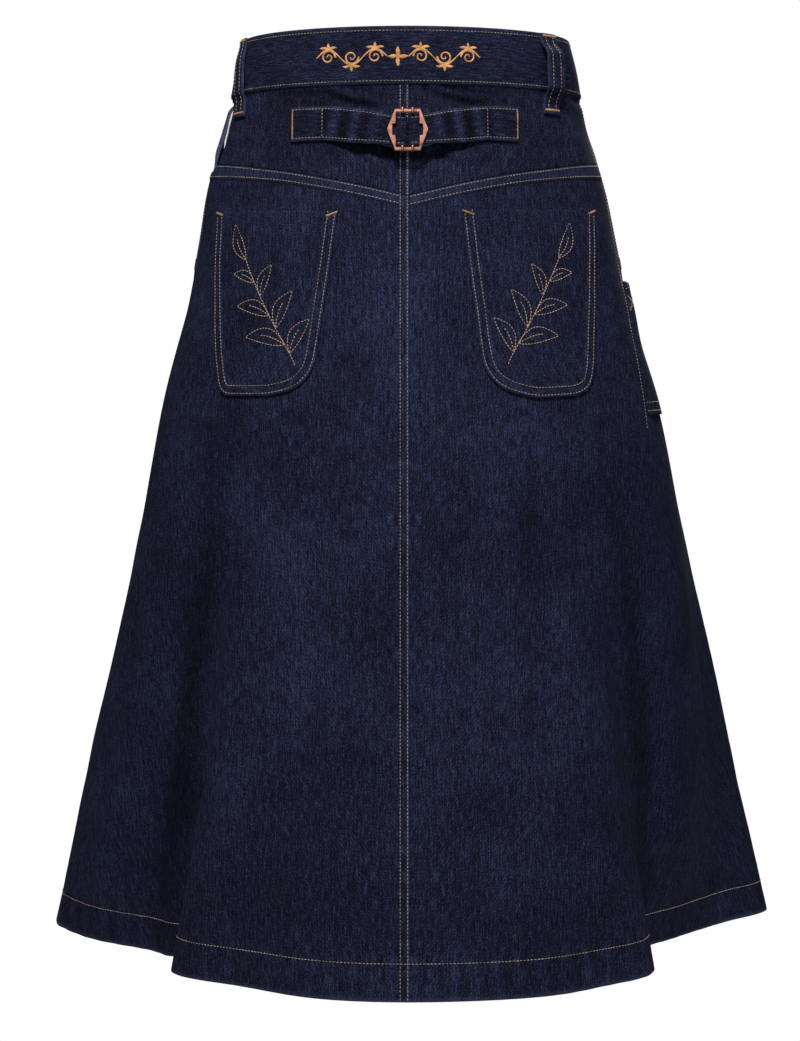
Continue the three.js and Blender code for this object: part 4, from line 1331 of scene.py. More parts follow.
@dataclass
class FrontBody:
    """The front panels with their slant pocket mouths, facings, pocketing and fly."""

    wardrobe: Wardrobe
    top_forward: float = 24.0
    curve: float = 1.2
    bottom_z: float = -168.0
    mouth_lift: float = 3.7
    fade: float = 34.0
    gape: float = 3.4
    folded: float = 2.4
    closed_lift: float = 2.1
    closed_z: float = -92.0
    closing: float = 22.0
    slack_z: float = -88.0
    slack_reach: float = 20.0
    # The pocketing: its lower end, where it turns inward and where its edge shows most
    pocketing_bottom: float = -122.0
    turned_in: float = 11.0
    turned_in_z: float = -66.0
    show: float = 3.4
    show_z: float = -40.0
    show_reach: float = 10.0
    free_z: float = -72.0
    under_panel: float = 24.0
    fly_bottom: float = -205.0
    fly_width: float = 36.0

    def mouth_edge(self, z: Array, side: Side) -> Array:
        """The panel's side edge: on the side seam, and ahead of it beside the pocket mouth."""
        seam = side_seam(z, side)
        share = np.clip((z - self.bottom_z) / (BAND_BOTTOM - self.bottom_z), 0.0, 1.0)
        return seam + side.value * degrees_for(self.top_forward * share**self.curve, seam, z)

    def lift(self, angle: Array, z: Array, side: Side) -> Array:
        """How far the panel stands off the body near its mouth."""
        below = smooth((z - self.bottom_z + self.fade) / self.fade)
        across = np.radians(np.abs(angle - self.mouth_edge(z, side))) * BODY.radius(angle, z)
        away = 1 - smooth((across - self.under_panel - 2) / self.fade)
        inward = 1 - smooth(across / self.fade)
        stack = lerp(self.closed_lift, self.mouth_lift, self.opened(z))
        stack = stack * away + self.gape * self.slack(z, side) * inward
        under_band = smooth((BAND_BOTTOM + 0.5 - z) / 7.0)
        return below * lerp(np.minimum(stack, 1.6), stack, under_band)

    def slack(self, z: Array, side: Side) -> Array:
        """How far the left mouth hangs open, from 0 to 1; the right one lies closed."""
        return smooth((z - self.slack_z) / self.slack_reach) * (side is Side.LEFT)

    def opened(self, z: Array) -> Array:
        """How far a mouth has opened at a height, from 0 below it to 1 near the band."""
        return smooth((z - self.closed_z) / self.closing)

    def panel(self, side: Side) -> None:
        """Makes a front panel from the waistband to the hem."""
        u, v = meshgrid(lapped(104, 300, (), CENTRE_ROWS), lapped(168, 735, (), (24, 27, 30)))
        z = lerp(BAND_BOTTOM + 0.5, HEM, v)
        share = u if side is Side.RIGHT else 1 - u
        under = degrees_for(UNDERLAP, 180, z) if side is Side.RIGHT else 0.0
        angle = lerp(self.mouth_edge(z, side), side.value * 180 + under, share**1.25)
        lift = self.lift(angle, z, side)
        past = np.radians(wrapped(angle + 180)) * BODY.radius(180, z)
        if side is Side.RIGHT:
            lift = lift - LAP_DROP * smooth((past + 1.2) / 1.2)
        else:
            lift = lift + LAP_RISE * edge_band(past, 8.0)
        thickness = lerp(CLOTH, HEM_CLOTH, smooth((HEM_TOP + 1.5 - z) / 3.0))
        beside = np.radians(np.abs(angle - self.mouth_edge(z, side))) * BODY.radius(angle, z)
        thickness = thickness + self.folded * self.slack(z, side) * edge_band(beside, 9.0, 2.0)
        mouth = smooth((z - self.bottom_z) / 8)
        wear = np.maximum(0.7 * edge_band(beside, 1.0, 2.0) * mouth, 0.75 * edge_band(z - HEM, 1.2, 2.2))
        piece = body_cloth(
            f"front_{side.word}_denim", angle, z, lift, thickness, wear,
            grain_from_end=side is Side.RIGHT,
        )
        self.wardrobe.cloth(piece, f"front_{side.word}", Held.HUNG, ["waistband_denim"])

    def facing(self, side: Side) -> None:
        """Makes the facing under the slant mouth, flush with the yoke at the side seam."""
        u, v = meshgrid(edged(26, 62, 0.8), edged(44, 145, 0.8))
        z = lerp(BAND_BOTTOM + 0.5, self.bottom_z + 2, v)
        share = u if side is Side.RIGHT else 1 - u
        far = self.mouth_edge(z, side) + side.value * degrees_for(self.under_panel, 90, z)
        angle = lerp(side_seam(z, side), far, share)
        piece = body_cloth(f"facing_{side.word}_denim", angle, z)
        self.wardrobe.cloth(piece, f"facing_{side.word}", Held.HUNG, ["waistband_denim"])

    def pocketing(self, side: Side) -> None:
        """Makes the white pocketing that shows as a thin edge along the mouth."""
        u, v = meshgrid(edged(8, 15, 0.5), edged(44, 120, 0.5))
        z = lerp(BAND_BOTTOM + 0.5, self.pocketing_bottom, v)
        share = u if side is Side.RIGHT else 1 - u
        edge = self.mouth_edge(z, side)
        slack = self.slack(z, side)
        inward = self.turned_in * smooth((self.turned_in_z - z) / 16)
        near_band = np.exp(-(((z - self.show_z) / self.show_reach) ** 2))
        show = self.show * near_band * slack - 1.2 - inward
        back = edge - side.value * degrees_for(show, 90, z)
        angle = lerp(back, edge + side.value * degrees_for(14.0 + inward, 90, z), share)
        under = side.value * np.maximum(side.value * angle, side.value * edge)
        open_part = self.opened(z)
        gap = CLOTH + lerp(0.05, 0.3, open_part) + self.folded * slack
        thickness = lerp(0.35, 1.0, open_part) + 0.7 * slack
        free = smooth((z - self.free_z) / 14)
        lift = lerp(0.05, self.lift(under, z, side) - gap, free)
        piece = body_cloth(f"pocketing_{side.word}_cotton", angle, z, lift, thickness)
        rests = [f"front_{side.word}_denim"]
        self.wardrobe.cloth(piece, f"pocketing_{side.word}", Held.LAID, rests, cotton=True)

    def fly(self) -> None:
        """Makes the fly facing behind the centre front."""
        u, v = meshgrid(edged(18, 40, 1.0), edged(60, 177, 1.0))
        z = lerp(BAND_BOTTOM - 3, self.fly_bottom, v)
        angle = 180 + degrees_for(lerp(-10.0, 30.0, u), 180, z)
        piece = body_cloth("fly_facing_denim", angle, z, -LAP_DROP - CLOTH - LAY_GAP, 2.0)
        self.wardrobe.cloth(piece, "fly_facing", Held.LAID, ["front_left_denim"])

    def stitch(self) -> None:
        """Sews the mouths, the fly's curve, the centre front, the side seams and the hem."""
        work, tacks = Needlework(), Needlework()
        for side in Side:
            sign = side.value
            for inset in TWIN_ROWS:
                z = np.linspace(BAND_BOTTOM - 1, self.bottom_z + 2, 120)
                angle = self.mouth_edge(z, side) + sign * degrees_for(inset + 0.4, 90, z)
                work.row(*body_line(angle, z, self.lift(angle, z, side)))
            z = np.full(700, HEM_TOP + 1.5)
            angle = np.linspace(float(side_seam(z[0], side)), sign * 179.9, 700)
            work.row(*body_line(angle, z, 0.0))
            tack_z = np.linspace(self.bottom_z + 4, self.bottom_z - 6, 5)
            angle = self.mouth_edge(tack_z, side) + sign * degrees_for(2.0, 90, tack_z)
            tacks.tack(*body_line(angle, tack_z, self.lift(angle, tack_z, side)))
        for inset in (0.0, 6.0):
            t = np.linspace(0, 1, 120)
            wide, low = self.fly_width - inset, self.fly_bottom + 6 + inset
            reach = np.clip((t - 0.62) / 0.38, 0, 1)
            z = lerp(BAND_BOTTOM - 1, low + wide, np.minimum(t / 0.62, 1))
            z = np.where(t > 0.62, low + wide * (1 - np.sin(reach * np.pi / 2)), z)
            length = np.where(t > 0.62, wide * np.cos(reach * np.pi / 2), wide)
            angle = 180 + degrees_for(np.maximum(length, 1.2), 180, z)
            work.row(*body_line(angle, z, LAP_RISE * edge_band(length, 8.0)))
        for length in TWIN_ROWS:
            z = np.linspace(self.fly_bottom + 2, HEM + 0.8, 400)
            work.row(*body_line(180 + degrees_for(length, 180, z), z, LAP_RISE))
        low = np.linspace(self.fly_bottom + 12, self.fly_bottom, 5)
        tacks.tack(*body_line(180 + degrees_for(np.full(5, 3.0), 180, low), low, LAP_RISE))
        for side, bottom in ((Side.RIGHT, -313.0), (Side.LEFT, -230.0)):
            z = np.linspace(BAND_BOTTOM - 1, bottom, 240)
            angle = side_seam(z, side) - side.value * degrees_for(2.2, 90, z)
            work.row(*body_line(angle, z, 0.0))
        self.wardrobe.dress(work.make("front_stitching"), self.wardrobe.thread, "thread")
        self.wardrobe.dress(tacks.make("front_tacks"), self.wardrobe.rust, "thread")

    def build(self) -> None:
        """Makes both sides, the fly and the stitching."""
        for side in Side:
            self.panel(side)
            self.facing(side)
            self.pocketing(side)
        self.fly()
        self.stitch()


@dataclass
class BackPocket:
    """A patch pocket with a rounded bottom, twin rows round it and a stitched leaf sprig."""

    wardrobe: Wardrobe
    side: Side
    table: Table
    inner_z: float
    outer_z: float
    bottom_rise: float
    lift: float = 1.9
    fold_rise: float = 0.45
    row_spread: float = 1.35

    def height(self, share: Array, drop: Array) -> Array:
        """The height a share of the way across, a drop below the mouth's slanting line."""
        v = 1 - (1 - np.clip(drop / self.table["drop"][-1], 0, 1)) ** (1 / self.row_spread)
        return self.inner_z + lerp(self.outer_z - self.inner_z, self.bottom_rise, v) * share - drop

    def on_surface(self, length: Array, z: Array, lift: Array | float) -> tuple[Array, Array]:
        """Points and outward vectors at a length round the body and a height."""
        return body_line(GIRTH.angle(self.side.value * length, z), z, lift)

    def outline(self) -> Array:
        """The sides and bottom as a line of lengths and heights, from the inner mouth corner."""
        bottom = self.table["drop"][-1]
        drop = np.linspace(0, bottom, 90)
        inner = column(self.table, "inner", drop, "drop")
        outer = column(self.table, "outer", drop, "drop")
        share = np.linspace(0, 1, 24)[1:-1]
        base = lerp(inner[-1], outer[-1], share)
        last = np.full(share.shape, bottom)
        down = np.stack([inner, self.height(np.zeros(90), drop)], axis=-1)
        across = np.stack([base, self.height(share, last)], axis=-1)
        up = np.stack([outer, self.height(np.ones(90), drop)], axis=-1)[::-1]
        line = np.concatenate([down, across, up])
        reach = np.concatenate([[0], np.cumsum(np.linalg.norm(np.diff(line, axis=0), axis=1))])
        even = np.linspace(0, reach[-1], 260)
        line = np.stack([np.interp(even, reach, line[:, k]) for k in range(2)], axis=-1)
        soft = np.pad(line, ((4, 4), (0, 0)), mode="edge")
        soft = np.stack([np.convolve(soft[:, k], np.ones(9) / 9, "valid") for k in range(2)], -1)
        ease = np.clip(np.minimum(np.arange(260), np.arange(260)[::-1]) / 8, 0, 1)[:, None]
        return lerp(line, soft, ease)

    def inset(self, distance: float) -> Array:
        """The outline moved in by a distance, square to its run."""
        line = self.outline()
        run = unit(np.gradient(line, axis=0))
        return line + np.stack([-run[:, 1], run[:, 0]], axis=-1) * distance

    def build(self) -> None:
        """Makes the pocket and its stitching."""
        rows = (1.5, 3.5, 6.0, 8.2, 8.8, 9.4, 10.0)
        u, v = meshgrid(lapped(38, 118, rows, rows), lapped(44, 154, (18, 20.5, 22), rows))
        share = u if self.side is Side.RIGHT else 1 - u
        bottom = self.table["drop"][-1]
        drop = bottom * (1 - (1 - v) ** self.row_spread)
        inner = column(self.table, "inner", drop, "drop")
        outer = column(self.table, "outer", drop, "drop")
        z = self.height(share, drop)
        angle = GIRTH.angle(self.side.value * lerp(inner, outer, share), z)
        gap = margins(BODY.off(angle, z, self.lift))
        folded = edge_band(gap, 8.6, 1.2)
        mouth = edge_band(drop, 20.0, 1.6)
        lift = self.lift + self.fold_rise * np.maximum(folded, 0.7 * mouth)
        wear = 0.3 * edge_band(gap, 0.9, 1.8) * smooth(drop / 12) + 0.2 * edge_band(
            np.abs(gap - 8.8), 0.5, 1.0
        )
        word = self.side.word
        piece = body_cloth(f"back_pocket_{word}_denim", angle, z, lift, CLOTH + 0.2, wear)
        self.wardrobe.cloth(piece, f"back_pocket_{word}", Held.LAID, [f"back_{word}_denim"])
        work, tacks = Needlework(), Needlework()
        high = self.lift + self.fold_rise
        for distance in (1.7, 8.0):
            line = self.inset(distance)
            line = line[line[:, 1] < self.height(np.array(0.5), np.array(1.0))]
            work.row(*self.on_surface(line[:, 0], line[:, 1], high))
        for share_at, key, tilt in ((0.0, "inner", 1.0), (1.0, "outer", -1.0)):
            edge = column(self.table, key, np.array([1.6]), "drop")[0]
            across = np.linspace(edge - tilt * 0.3, edge + tilt * 9.5, 5)
            top = float(self.height(np.array(share_at), np.array(0.0)))
            level = top - np.linspace(0.6, 3.8, 5)
            tacks.tack(*self.on_surface(across, level, high), wide=2.1, count=17)
        self.wardrobe.dress(
            work.make(f"back_pocket_{word}_stitching"), self.wardrobe.thread, "thread"
        )
        self.wardrobe.dress(
            tacks.make(f"back_pocket_{word}_tacks"), self.wardrobe.rust, "thread"
        )
        self.sprig()

    def sprig(self) -> None:
        """Stitches a leaf sprig: a bowed stem with paired leaves, each two arcs and a vein."""
        work = Needlework(pitch=2.7, length=2.2, width=0.66)
        middle = (self.table["inner"][1] + self.table["outer"][1]) / 2
        centre_z = (self.inner_z + self.outer_z) / 2 - 76.0

        def sew(x: Array, y: Array) -> None:
            """Sews one line given in mm from the pocket's centre, x toward its outer side."""
            work.row(*self.on_surface(middle + x, centre_z + y, self.lift + 0.02))

        t = np.linspace(0, 1, 80)
        stem_x = -29 + 60 * t**1.25
        stem_y = -54 + 112 * t - 12 * np.sin(np.pi * t)
        sew(stem_x[: 70], stem_y[: 70])
        leaves = (
            (0.14, 62, 33), (0.24, -48, 37), (0.38, 56, 34), (0.49, -46, 33),
            (0.63, 50, 28), (0.72, -44, 24), (0.86, 4, 33),
        )
        for at, turn, length in leaves:
            k = int(at * 79)
            run = math.atan2(stem_y[k + 1] - stem_y[k], stem_x[k + 1] - stem_x[k])
            way = run + math.radians(turn)
            s = np.linspace(0, 1, 40)
            bow = np.sign(turn) * -0.11 * length * np.sin(np.pi * s)
            for half in (-0.2, 0.2):
                aside = half * length * np.sin(np.pi * s) ** 0.85 * (1 - 0.25 * s) + bow
                sew(
                    stem_x[k] + length * s * math.cos(way) - aside * math.sin(way),
                    stem_y[k] + length * s * math.sin(way) + aside * math.cos(way),
                )
            vein = s[: 26]
            aside = bow[: 26]
            sew(
                stem_x[k] + length * vein * math.cos(way) - aside * math.sin(way),
                stem_y[k] + length * vein * math.sin(way) + aside * math.cos(way),
            )
        name = f"back_pocket_{self.side.word}_sprig"
        self.wardrobe.dress(work.make(name), self.wardrobe.amber, "thread")


@dataclass
class ToolPocket:
    """A pocket sewn into the right side seam, which gapes a little at its mouth."""

    wardrobe: Wardrobe
    front: FrontBody
    width: float = 96.0
    back_z: float = -189.0
    front_z: float = -175.0
    bottom_z: float = -301.0
    gape: float = 6.5
    gape_share: float = 0.55

    def place(self, u: Array, v: Array) -> tuple[Array, Array, Array]:
        """Angle, height and lift a share of the way across and down."""
        z = lerp(lerp(self.back_z, self.front_z, u), self.bottom_z, v)
        angle = side_seam(z, Side.RIGHT) + degrees_for(0.3 + self.width * u, 90, z)
        gape = self.gape * np.sin(np.pi * u) ** 0.6 * (1 - smooth(v / self.gape_share))
        from_seam = smooth(u * self.width / 9.0)
        stack = lerp(0.35, LAY_GAP + CLOTH, from_seam)
        return angle, z, self.front.lift(angle, z, Side.RIGHT) + stack + gape

    def build(self) -> None:
        """Makes the pocket, its twin rows and its tacks."""
        u, v = meshgrid(edged(38, 96, 0.8), edged(46, 115, 0.8))
        angle, z, lift = self.place(u, v)
        gap = margins(BODY.off(angle, z, lift))
        wear = 0.3 * edge_band(gap, 0.9, 1.8) * (u > 0.05)
        thickness = lerp(0.25, CLOTH, smooth(u * self.width / 7.0))
        piece = body_cloth("tool_pocket_denim", angle, z, lift, thickness, wear)
        self.wardrobe.cloth(piece, "tool_pocket", Held.LAID, ["front_right_denim"])
        work, tacks = Needlework(), Needlework()

        def sew(u: Array | float, v: Array | float, tack: bool = False) -> None:
            """Sews a row or a bar tack along shares of the pocket."""
            u, v = np.broadcast_arrays(np.asarray(u, float), np.asarray(v, float))
            line = body_line(*self.place(u, v))
            if tack:
                tacks.tack(*line, wide=1.5)
            else:
                work.row(*line)

        t = np.linspace(0.015, 0.985, 90)
        for inset in (3.4, 10.8):
            sew(t, 1 - inset / 116)
            sew(1 - inset / 3.2 / 96, t)
        for inset in (3.0, 20.0):
            sew(t, inset / 116)
        sew(np.full(5, 0.98), np.linspace(0.01, 0.1, 5), tack=True)
        sew(np.linspace(0.02, 0.12, 5), np.linspace(0.08, 0.17, 5), tack=True)
        sew(np.linspace(0.12, 0.02, 5), np.linspace(0.1, 0.2, 5), tack=True)
        self.wardrobe.dress(work.make("tool_pocket_stitching"), self.wardrobe.thread, "thread")
        self.wardrobe.dress(tacks.make("tool_pocket_tacks"), self.wardrobe.rust, "thread")


@dataclass
class BeltLoops:
    """Strips tacked on the band and below it, bowed out between."""

    wardrobe: Wardrobe
    band_proud: float = 1.4
    width: float = 16.5
    thickness: float = 1.8
    top_z: float = 24.0
    bottom_z: float = -46.0
    tack: float = 6.0
    rise: float = 15.0
    places: tuple[tuple[float, float, float], ...] = (
        (-81.5, -73.0, 1.2), (67.5, 62.5, 7.4), (137.0, 138.5, 3.0), (-137.0, -138.5, 3.0),
    )

    def place(self, loop: int, u: Array, v: Array) -> tuple[Array, Array, Array]:
        """Angle, height and lift of a loop's outer face."""
        top, bottom, clearance = self.places[loop]
        z = lerp(self.top_z, self.bottom_z, v)
        hang = lerp(top, bottom, v)
        to_end = np.minimum(self.top_z - z, z - self.bottom_z) - self.tack
        bow = clearance * smooth(to_end / self.rise)
        seat = (self.band_proud + 0.35) * smooth((z - BAND_BOTTOM + 8) / 8)
        angle = hang + degrees_for((u - 0.5) * self.width, hang, z)
        crown = 0.35 * np.sin(np.pi * np.clip(u, 0, 1))
        return angle, z, seat + LAY_GAP + bow + self.thickness + crown

    def build(self) -> None:
        """Makes the four loops with two rows and two tacks each."""
        work, tacks = Needlework(pitch=3.4, length=2.8), Needlework()
        for loop in range(len(self.places)):
            u, v = meshgrid(edged(9, 16.5, 0.9), edged(52, 70, 0.9))
            angle, z, lift = self.place(loop, u, v)
            gap = margins(BODY.off(angle, z, lift))
            wear = 0.3 * edge_band(gap, 0.8, 1.5)
            piece = body_cloth(
                f"belt_loop_{loop + 1}_denim", angle, z, lift, self.thickness, wear
            )
            rests = ["waistband_denim"]
            self.wardrobe.cloth(piece, f"belt_loop_{loop + 1}", Held.FOLDED, rests)
            t = np.linspace(0.03, 0.97, 60)
            for across in (0.27, 0.73):
                work.row(*body_line(*self.place(loop, np.full(60, across), t)))
            t = np.linspace(0.06, 0.94, 7)
            for down in (0.035, 0.955):
                line = body_line(*self.place(loop, t, np.full(7, down)))
                tacks.tack(*line, wide=2.4, count=22)
        self.wardrobe.dress(work.make("belt_loop_stitching"), self.wardrobe.thread, "thread")
        self.wardrobe.dress(tacks.make("belt_loop_tacks"), self.wardrobe.rust, "thread")


@dataclass
class Cinch:
    """The back cinch: two straps turned round the bars of a six-sided buckle."""

    wardrobe: Wardrobe
    height: float = 30.0
    height_at_bar: float = 27.0
    thickness: float = 2.2
    end_z: float = -57.5
    left_end: float = -96.6
    right_end: float = 94.0
    stitched: float = 28.0
    rise: float = 44.0
    sag_length: float = 62.0
    tail: float = 17.0
    mid_x: float = 1.0
    mid_z: float = -66.6
    bar_radius: float = 1.4
    # Half sizes of the hexagon, of its hole and of the hole's notches
    frame_corner: float = 17.9
    frame_flat: float = 10.8
    frame_height: float = 18.7
    hole_width: float = 9.4
    hole_height: float = 15.1
    notch_width: float = 12.0
    notch_height: float = 4.8
    # How much the two side corners are blunted, as a share, and over how many degrees
    blunting: float = 0.02
    blunt_reach: float = 5.0
    half_spacing: float = 4.2
    frame_thickness: float = 2.2

    def __post_init__(self) -> None:
        """Places the buckle's own frame on the sloping yoke."""
        self.turn_radius = self.bar_radius + LAY_GAP + self.thickness / 2
        half = self.height / 2
        upper, lower = (BODY.point(0, self.mid_z + s * half)[1] for s in (1, -1))
        self.slope = math.pi / 2 - math.atan2(upper - lower, self.height)
        out = self.turn_radius + self.thickness / 2 + 0.6
        self.origin = np.array([self.mid_x, BODY.point(0, self.mid_z)[1] - out, self.mid_z])
        self.frame_back = self.turn_radius + self.thickness / 2 + LAY_GAP

    def from_buckle(self, x: Array, y: Array, z: Array) -> Array:
        """Turns the buckle's own coordinates, y up and z away from the body, into the skirt's."""
        x, y, z = np.broadcast_arrays(x, y, z)
        c, s = math.cos(self.slope), math.sin(self.slope)
        return np.stack([x, y * c - z * s, y * s + z * c], axis=-1) + self.origin

    def on_back(self, x: Array, z: Array, distance: Array | float) -> Array:
        """The point at a given x and height on the back of the form, moved out."""
        angle = np.zeros(np.broadcast(x, z).shape)
        for _ in range(12):
            angle = np.degrees(np.arcsin(x / BODY.radius(angle, z)))
        return BODY.off(angle, z, distance)

    def strap_point(self, side: Side, step: Array, v: Array, off: Array | float) -> Array:
        """A strap: seated on the yoke, free toward the buckle, round its bar and back behind.

        Args:
            side: which strap.
            step: 0 to 1 along the run to the bar, to 2 round it and to 3 along the tail.
            v: share of the height, from the top edge.
            off: distance from the strap's middle, positive for its outer face.

        Returns:
            The points.
        """
        end = self.right_end if side is Side.RIGHT else self.left_end
        bar_x = side.value * self.half_spacing
        run = np.clip(step, 0, 1)
        h = (0.5 - v) * lerp(self.height, self.height_at_bar, smooth((run - 0.6) / 0.3))
        ring = self.turn_radius + off
        x = lerp(end, bar_x + self.mid_x, run)
        beyond = np.clip(np.abs(end - x) - self.stitched, 0, None)
        free = smooth(beyond / self.rise)[..., None]
        sag = (self.mid_z - self.end_z) * np.clip(beyond / self.sag_length, 0, 1)
        seated = self.on_back(x, self.end_z + sag + h, LAY_GAP + self.thickness / 2 + off)
        rumple = np.sin(x / 4.1 + h / 9) * np.cos(h / 11) + 0.8 * np.sin(x / 7.3 - h / 6 + 1.0)
        rumple = 1.3 * rumple * np.sin(np.pi * free[..., 0] ** 0.8)
        flown = self.from_buckle(x - self.mid_x, h + sag - self.mid_z + self.end_z, ring + rumple)
        first = lerp(seated, flown, free)
        turn = np.pi * np.clip(step - 1, 0, 1)
        second = self.from_buckle(
            bar_x - side.value * ring * np.sin(turn), h, ring * np.cos(turn)
        )
        back = np.clip(step - 2, 0, 1)
        close = (2 * self.turn_radius - self.thickness - LAY_GAP) * smooth((back - 0.18) / 0.9)
        tail_x = bar_x + side.value * back * self.tail
        tail_beyond = np.abs(end - tail_x - self.mid_x) - self.stitched
        parallel = (self.mid_z - self.end_z) * (np.clip(tail_beyond / self.sag_length, 0, 1) - 1)
        third = self.from_buckle(tail_x, h + parallel * smooth(back / 0.4), close - ring)
        step = step[..., None]
        return np.where(step <= 1, first, np.where(step <= 2, second, third))

    def strap(self, side: Side, work: Needlework, tacks: Needlework) -> None:
        """Makes a strap with rows along its edges and a sewn box at its end."""
        steps = np.concatenate(
            [[0, 0.002, 0.006], np.linspace(0.011, 1, 84), np.linspace(1.04, 2, 26),
             np.linspace(2.06, 3, 16)]
        )
        step, v = meshgrid(steps if side is Side.LEFT else steps[::-1], edged(14, 30, 1.1))
        half = self.thickness / 2
        outer = self.strap_point(side, step, v, half)
        inner = self.strap_point(side, step, v, -half)
        edge = np.minimum(v, 1 - v) * self.height
        wear = 0.3 * edge_band(edge, 0.9, 1.6)
        # Painted light and shade in slanting bands stand in for folds across the strap; the strap is
        # also drawn darker overall, with a paler upper edge.
        fold = np.sin(step * 34 + 2.0 * v) * np.sin(np.pi * np.clip(step, 0, 1)) ** 2
        tone = -0.034 + 0.075 * fold + 0.03 * edge_band(edge, 2.0, 3.0) * (v < 0.5)
        piece = cloth_wall(
            f"strap_{side.word}_denim", outer, inner, wear, 1.1, tone=tone, warp_along=True
        )
        self.wardrobe.cloth(piece, f"strap_{side.word}", Held.FOLDED, [f"yoke_{side.word}_denim"])

        def line(step: Array, v: Array) -> tuple[Array, Array]:
            """Points and outward vectors along a line on the strap's outer face."""
            step, v = np.broadcast_arrays(np.asarray(step, float), np.asarray(v, float))
            lower = self.strap_point(side, step, v, half - 0.5)
            upper = self.strap_point(side, step, v, half + 0.02)
            return upper, unit(upper - lower)

        length = abs((self.right_end if side is Side.RIGHT else self.left_end) - self.mid_x)
        for v_row in (2.6, 27.4):
            work.row(*line(np.linspace(0.01, 1.12, 150), v_row / self.height))
        for inset in (2.0, self.stitched):
            work.row(*line(np.full(40, inset / length), np.linspace(0.09, 0.91, 40)))
        ends = line(np.full(30, 1.6 / length), np.linspace(0.07, 0.93, 30))
        tacks.tack(*ends, wide=1.5, count=40)

    def ring(
        self, name: str, outer: Array, inner: Array, back: float, depth: float, bevel: float
    ) -> bpy.types.Object:
        """A flat ring between two outlines in the buckle's frame, with rounded edges.

        Across the ring the section is a rounded rectangle: eight points, two at each corner.
        """
        side = np.array([0, 0, 1, 1, 1, 1, 0, 0], dtype=float)
        nudge = np.array([0.3, 1, -1, -0.3, -0.3, -1, 1, 0.3]) * bevel
        rise = np.array([depth - bevel * 0.3, depth, depth, depth - bevel * 0.3,
                         bevel * 0.3, 0, 0, bevel * 0.3])
        nudge[[0, 3, 4, 7]] = 0
        rise[[0, 3]] = depth - bevel
        rise[[4, 7]] = bevel
        span = np.linalg.norm(outer - inner, axis=-1)[:, None]
        share = side[None, :] + nudge[None, :] / span
        flat = lerp(inner[:, None, :], outer[:, None, :], share[..., None])
        points = self.from_buckle(flat[..., 0], flat[..., 1], back + rise[None, :])
        index = np.arange(points.shape[0] * 8).reshape(-1, 8)
        index = np.concatenate([index, index[:1]])
        index = np.concatenate([index, index[:, :1]], axis=1)
        return make_object(name, points.reshape(-1, 3), [quads(index)], smoothed=False)

    @staticmethod
    def polar(corners: Array, turns: Array) -> Array:
        """Where rays from the middle cross a closed outline."""
        closed = np.concatenate([corners, corners[:1]])
        a, b = closed[:-1], closed[1:]
        ray = np.stack([np.cos(turns), np.sin(turns)], axis=-1)[:, None]
        edge = b - a
        cross = ray[..., 0] * edge[:, 1] - ray[..., 1] * edge[:, 0]
        cross = np.where(np.abs(cross) < 1e-9, 1e-9, cross)
        far = (a[:, 0] * edge[:, 1] - a[:, 1] * edge[:, 0]) / cross
        at = (a[:, 0] * ray[..., 1] - a[:, 1] * ray[..., 0]) / cross
        hit = np.where((far > 0) & (at >= -1e-6) & (at <= 1 + 1e-6), far, np.inf).min(axis=1)
        return ray[:, 0] * hit[:, None]

    def buckle(self) -> None:
        """Makes the frame and its two bars, whose clips hook round the frame."""
        w, f, h = self.frame_corner, self.frame_flat, self.frame_height
        frame_corners = np.array([(w, 0), (f, h), (-f, h), (-w, 0), (-f, -h), (f, -h)])
        ow, oh, nw, nh = self.hole_width, self.hole_height, self.notch_width, self.notch_height
        hole = [(nw, nh), (ow, nh), (ow, oh), (-ow, oh), (-ow, nh), (-nw, nh)]
        hole = np.array(hole + [(-x, -y) for x, y in hole])
        marks = np.concatenate([frame_corners, hole])
        turns = np.arctan2(marks[:, 1], marks[:, 0])
        turns = np.unique(np.round(np.concatenate(
            [turns, turns - 0.02, turns + 0.02, np.linspace(-np.pi, np.pi, 97)[:-1]]
        ), 5))
        degrees = np.degrees(turns)
        from_corner = np.minimum(np.abs(wrapped(degrees)), np.abs(wrapped(degrees - 180)))
        blunted = self.blunting * np.exp(-((from_corner / self.blunt_reach) ** 2))
        outer = self.polar(frame_corners, turns) * (1 - blunted[:, None])
        inner = self.polar(hole, turns)
        frame_ring = self.ring(
            "buckle_frame_copper", outer, inner, self.frame_back, self.frame_thickness, 0.8
        )
        self.wardrobe.dress(frame_ring, self.wardrobe.copper, "copper_metal", "buckle_frame")
        for side in Side:
            self.bar(side, oh, h)

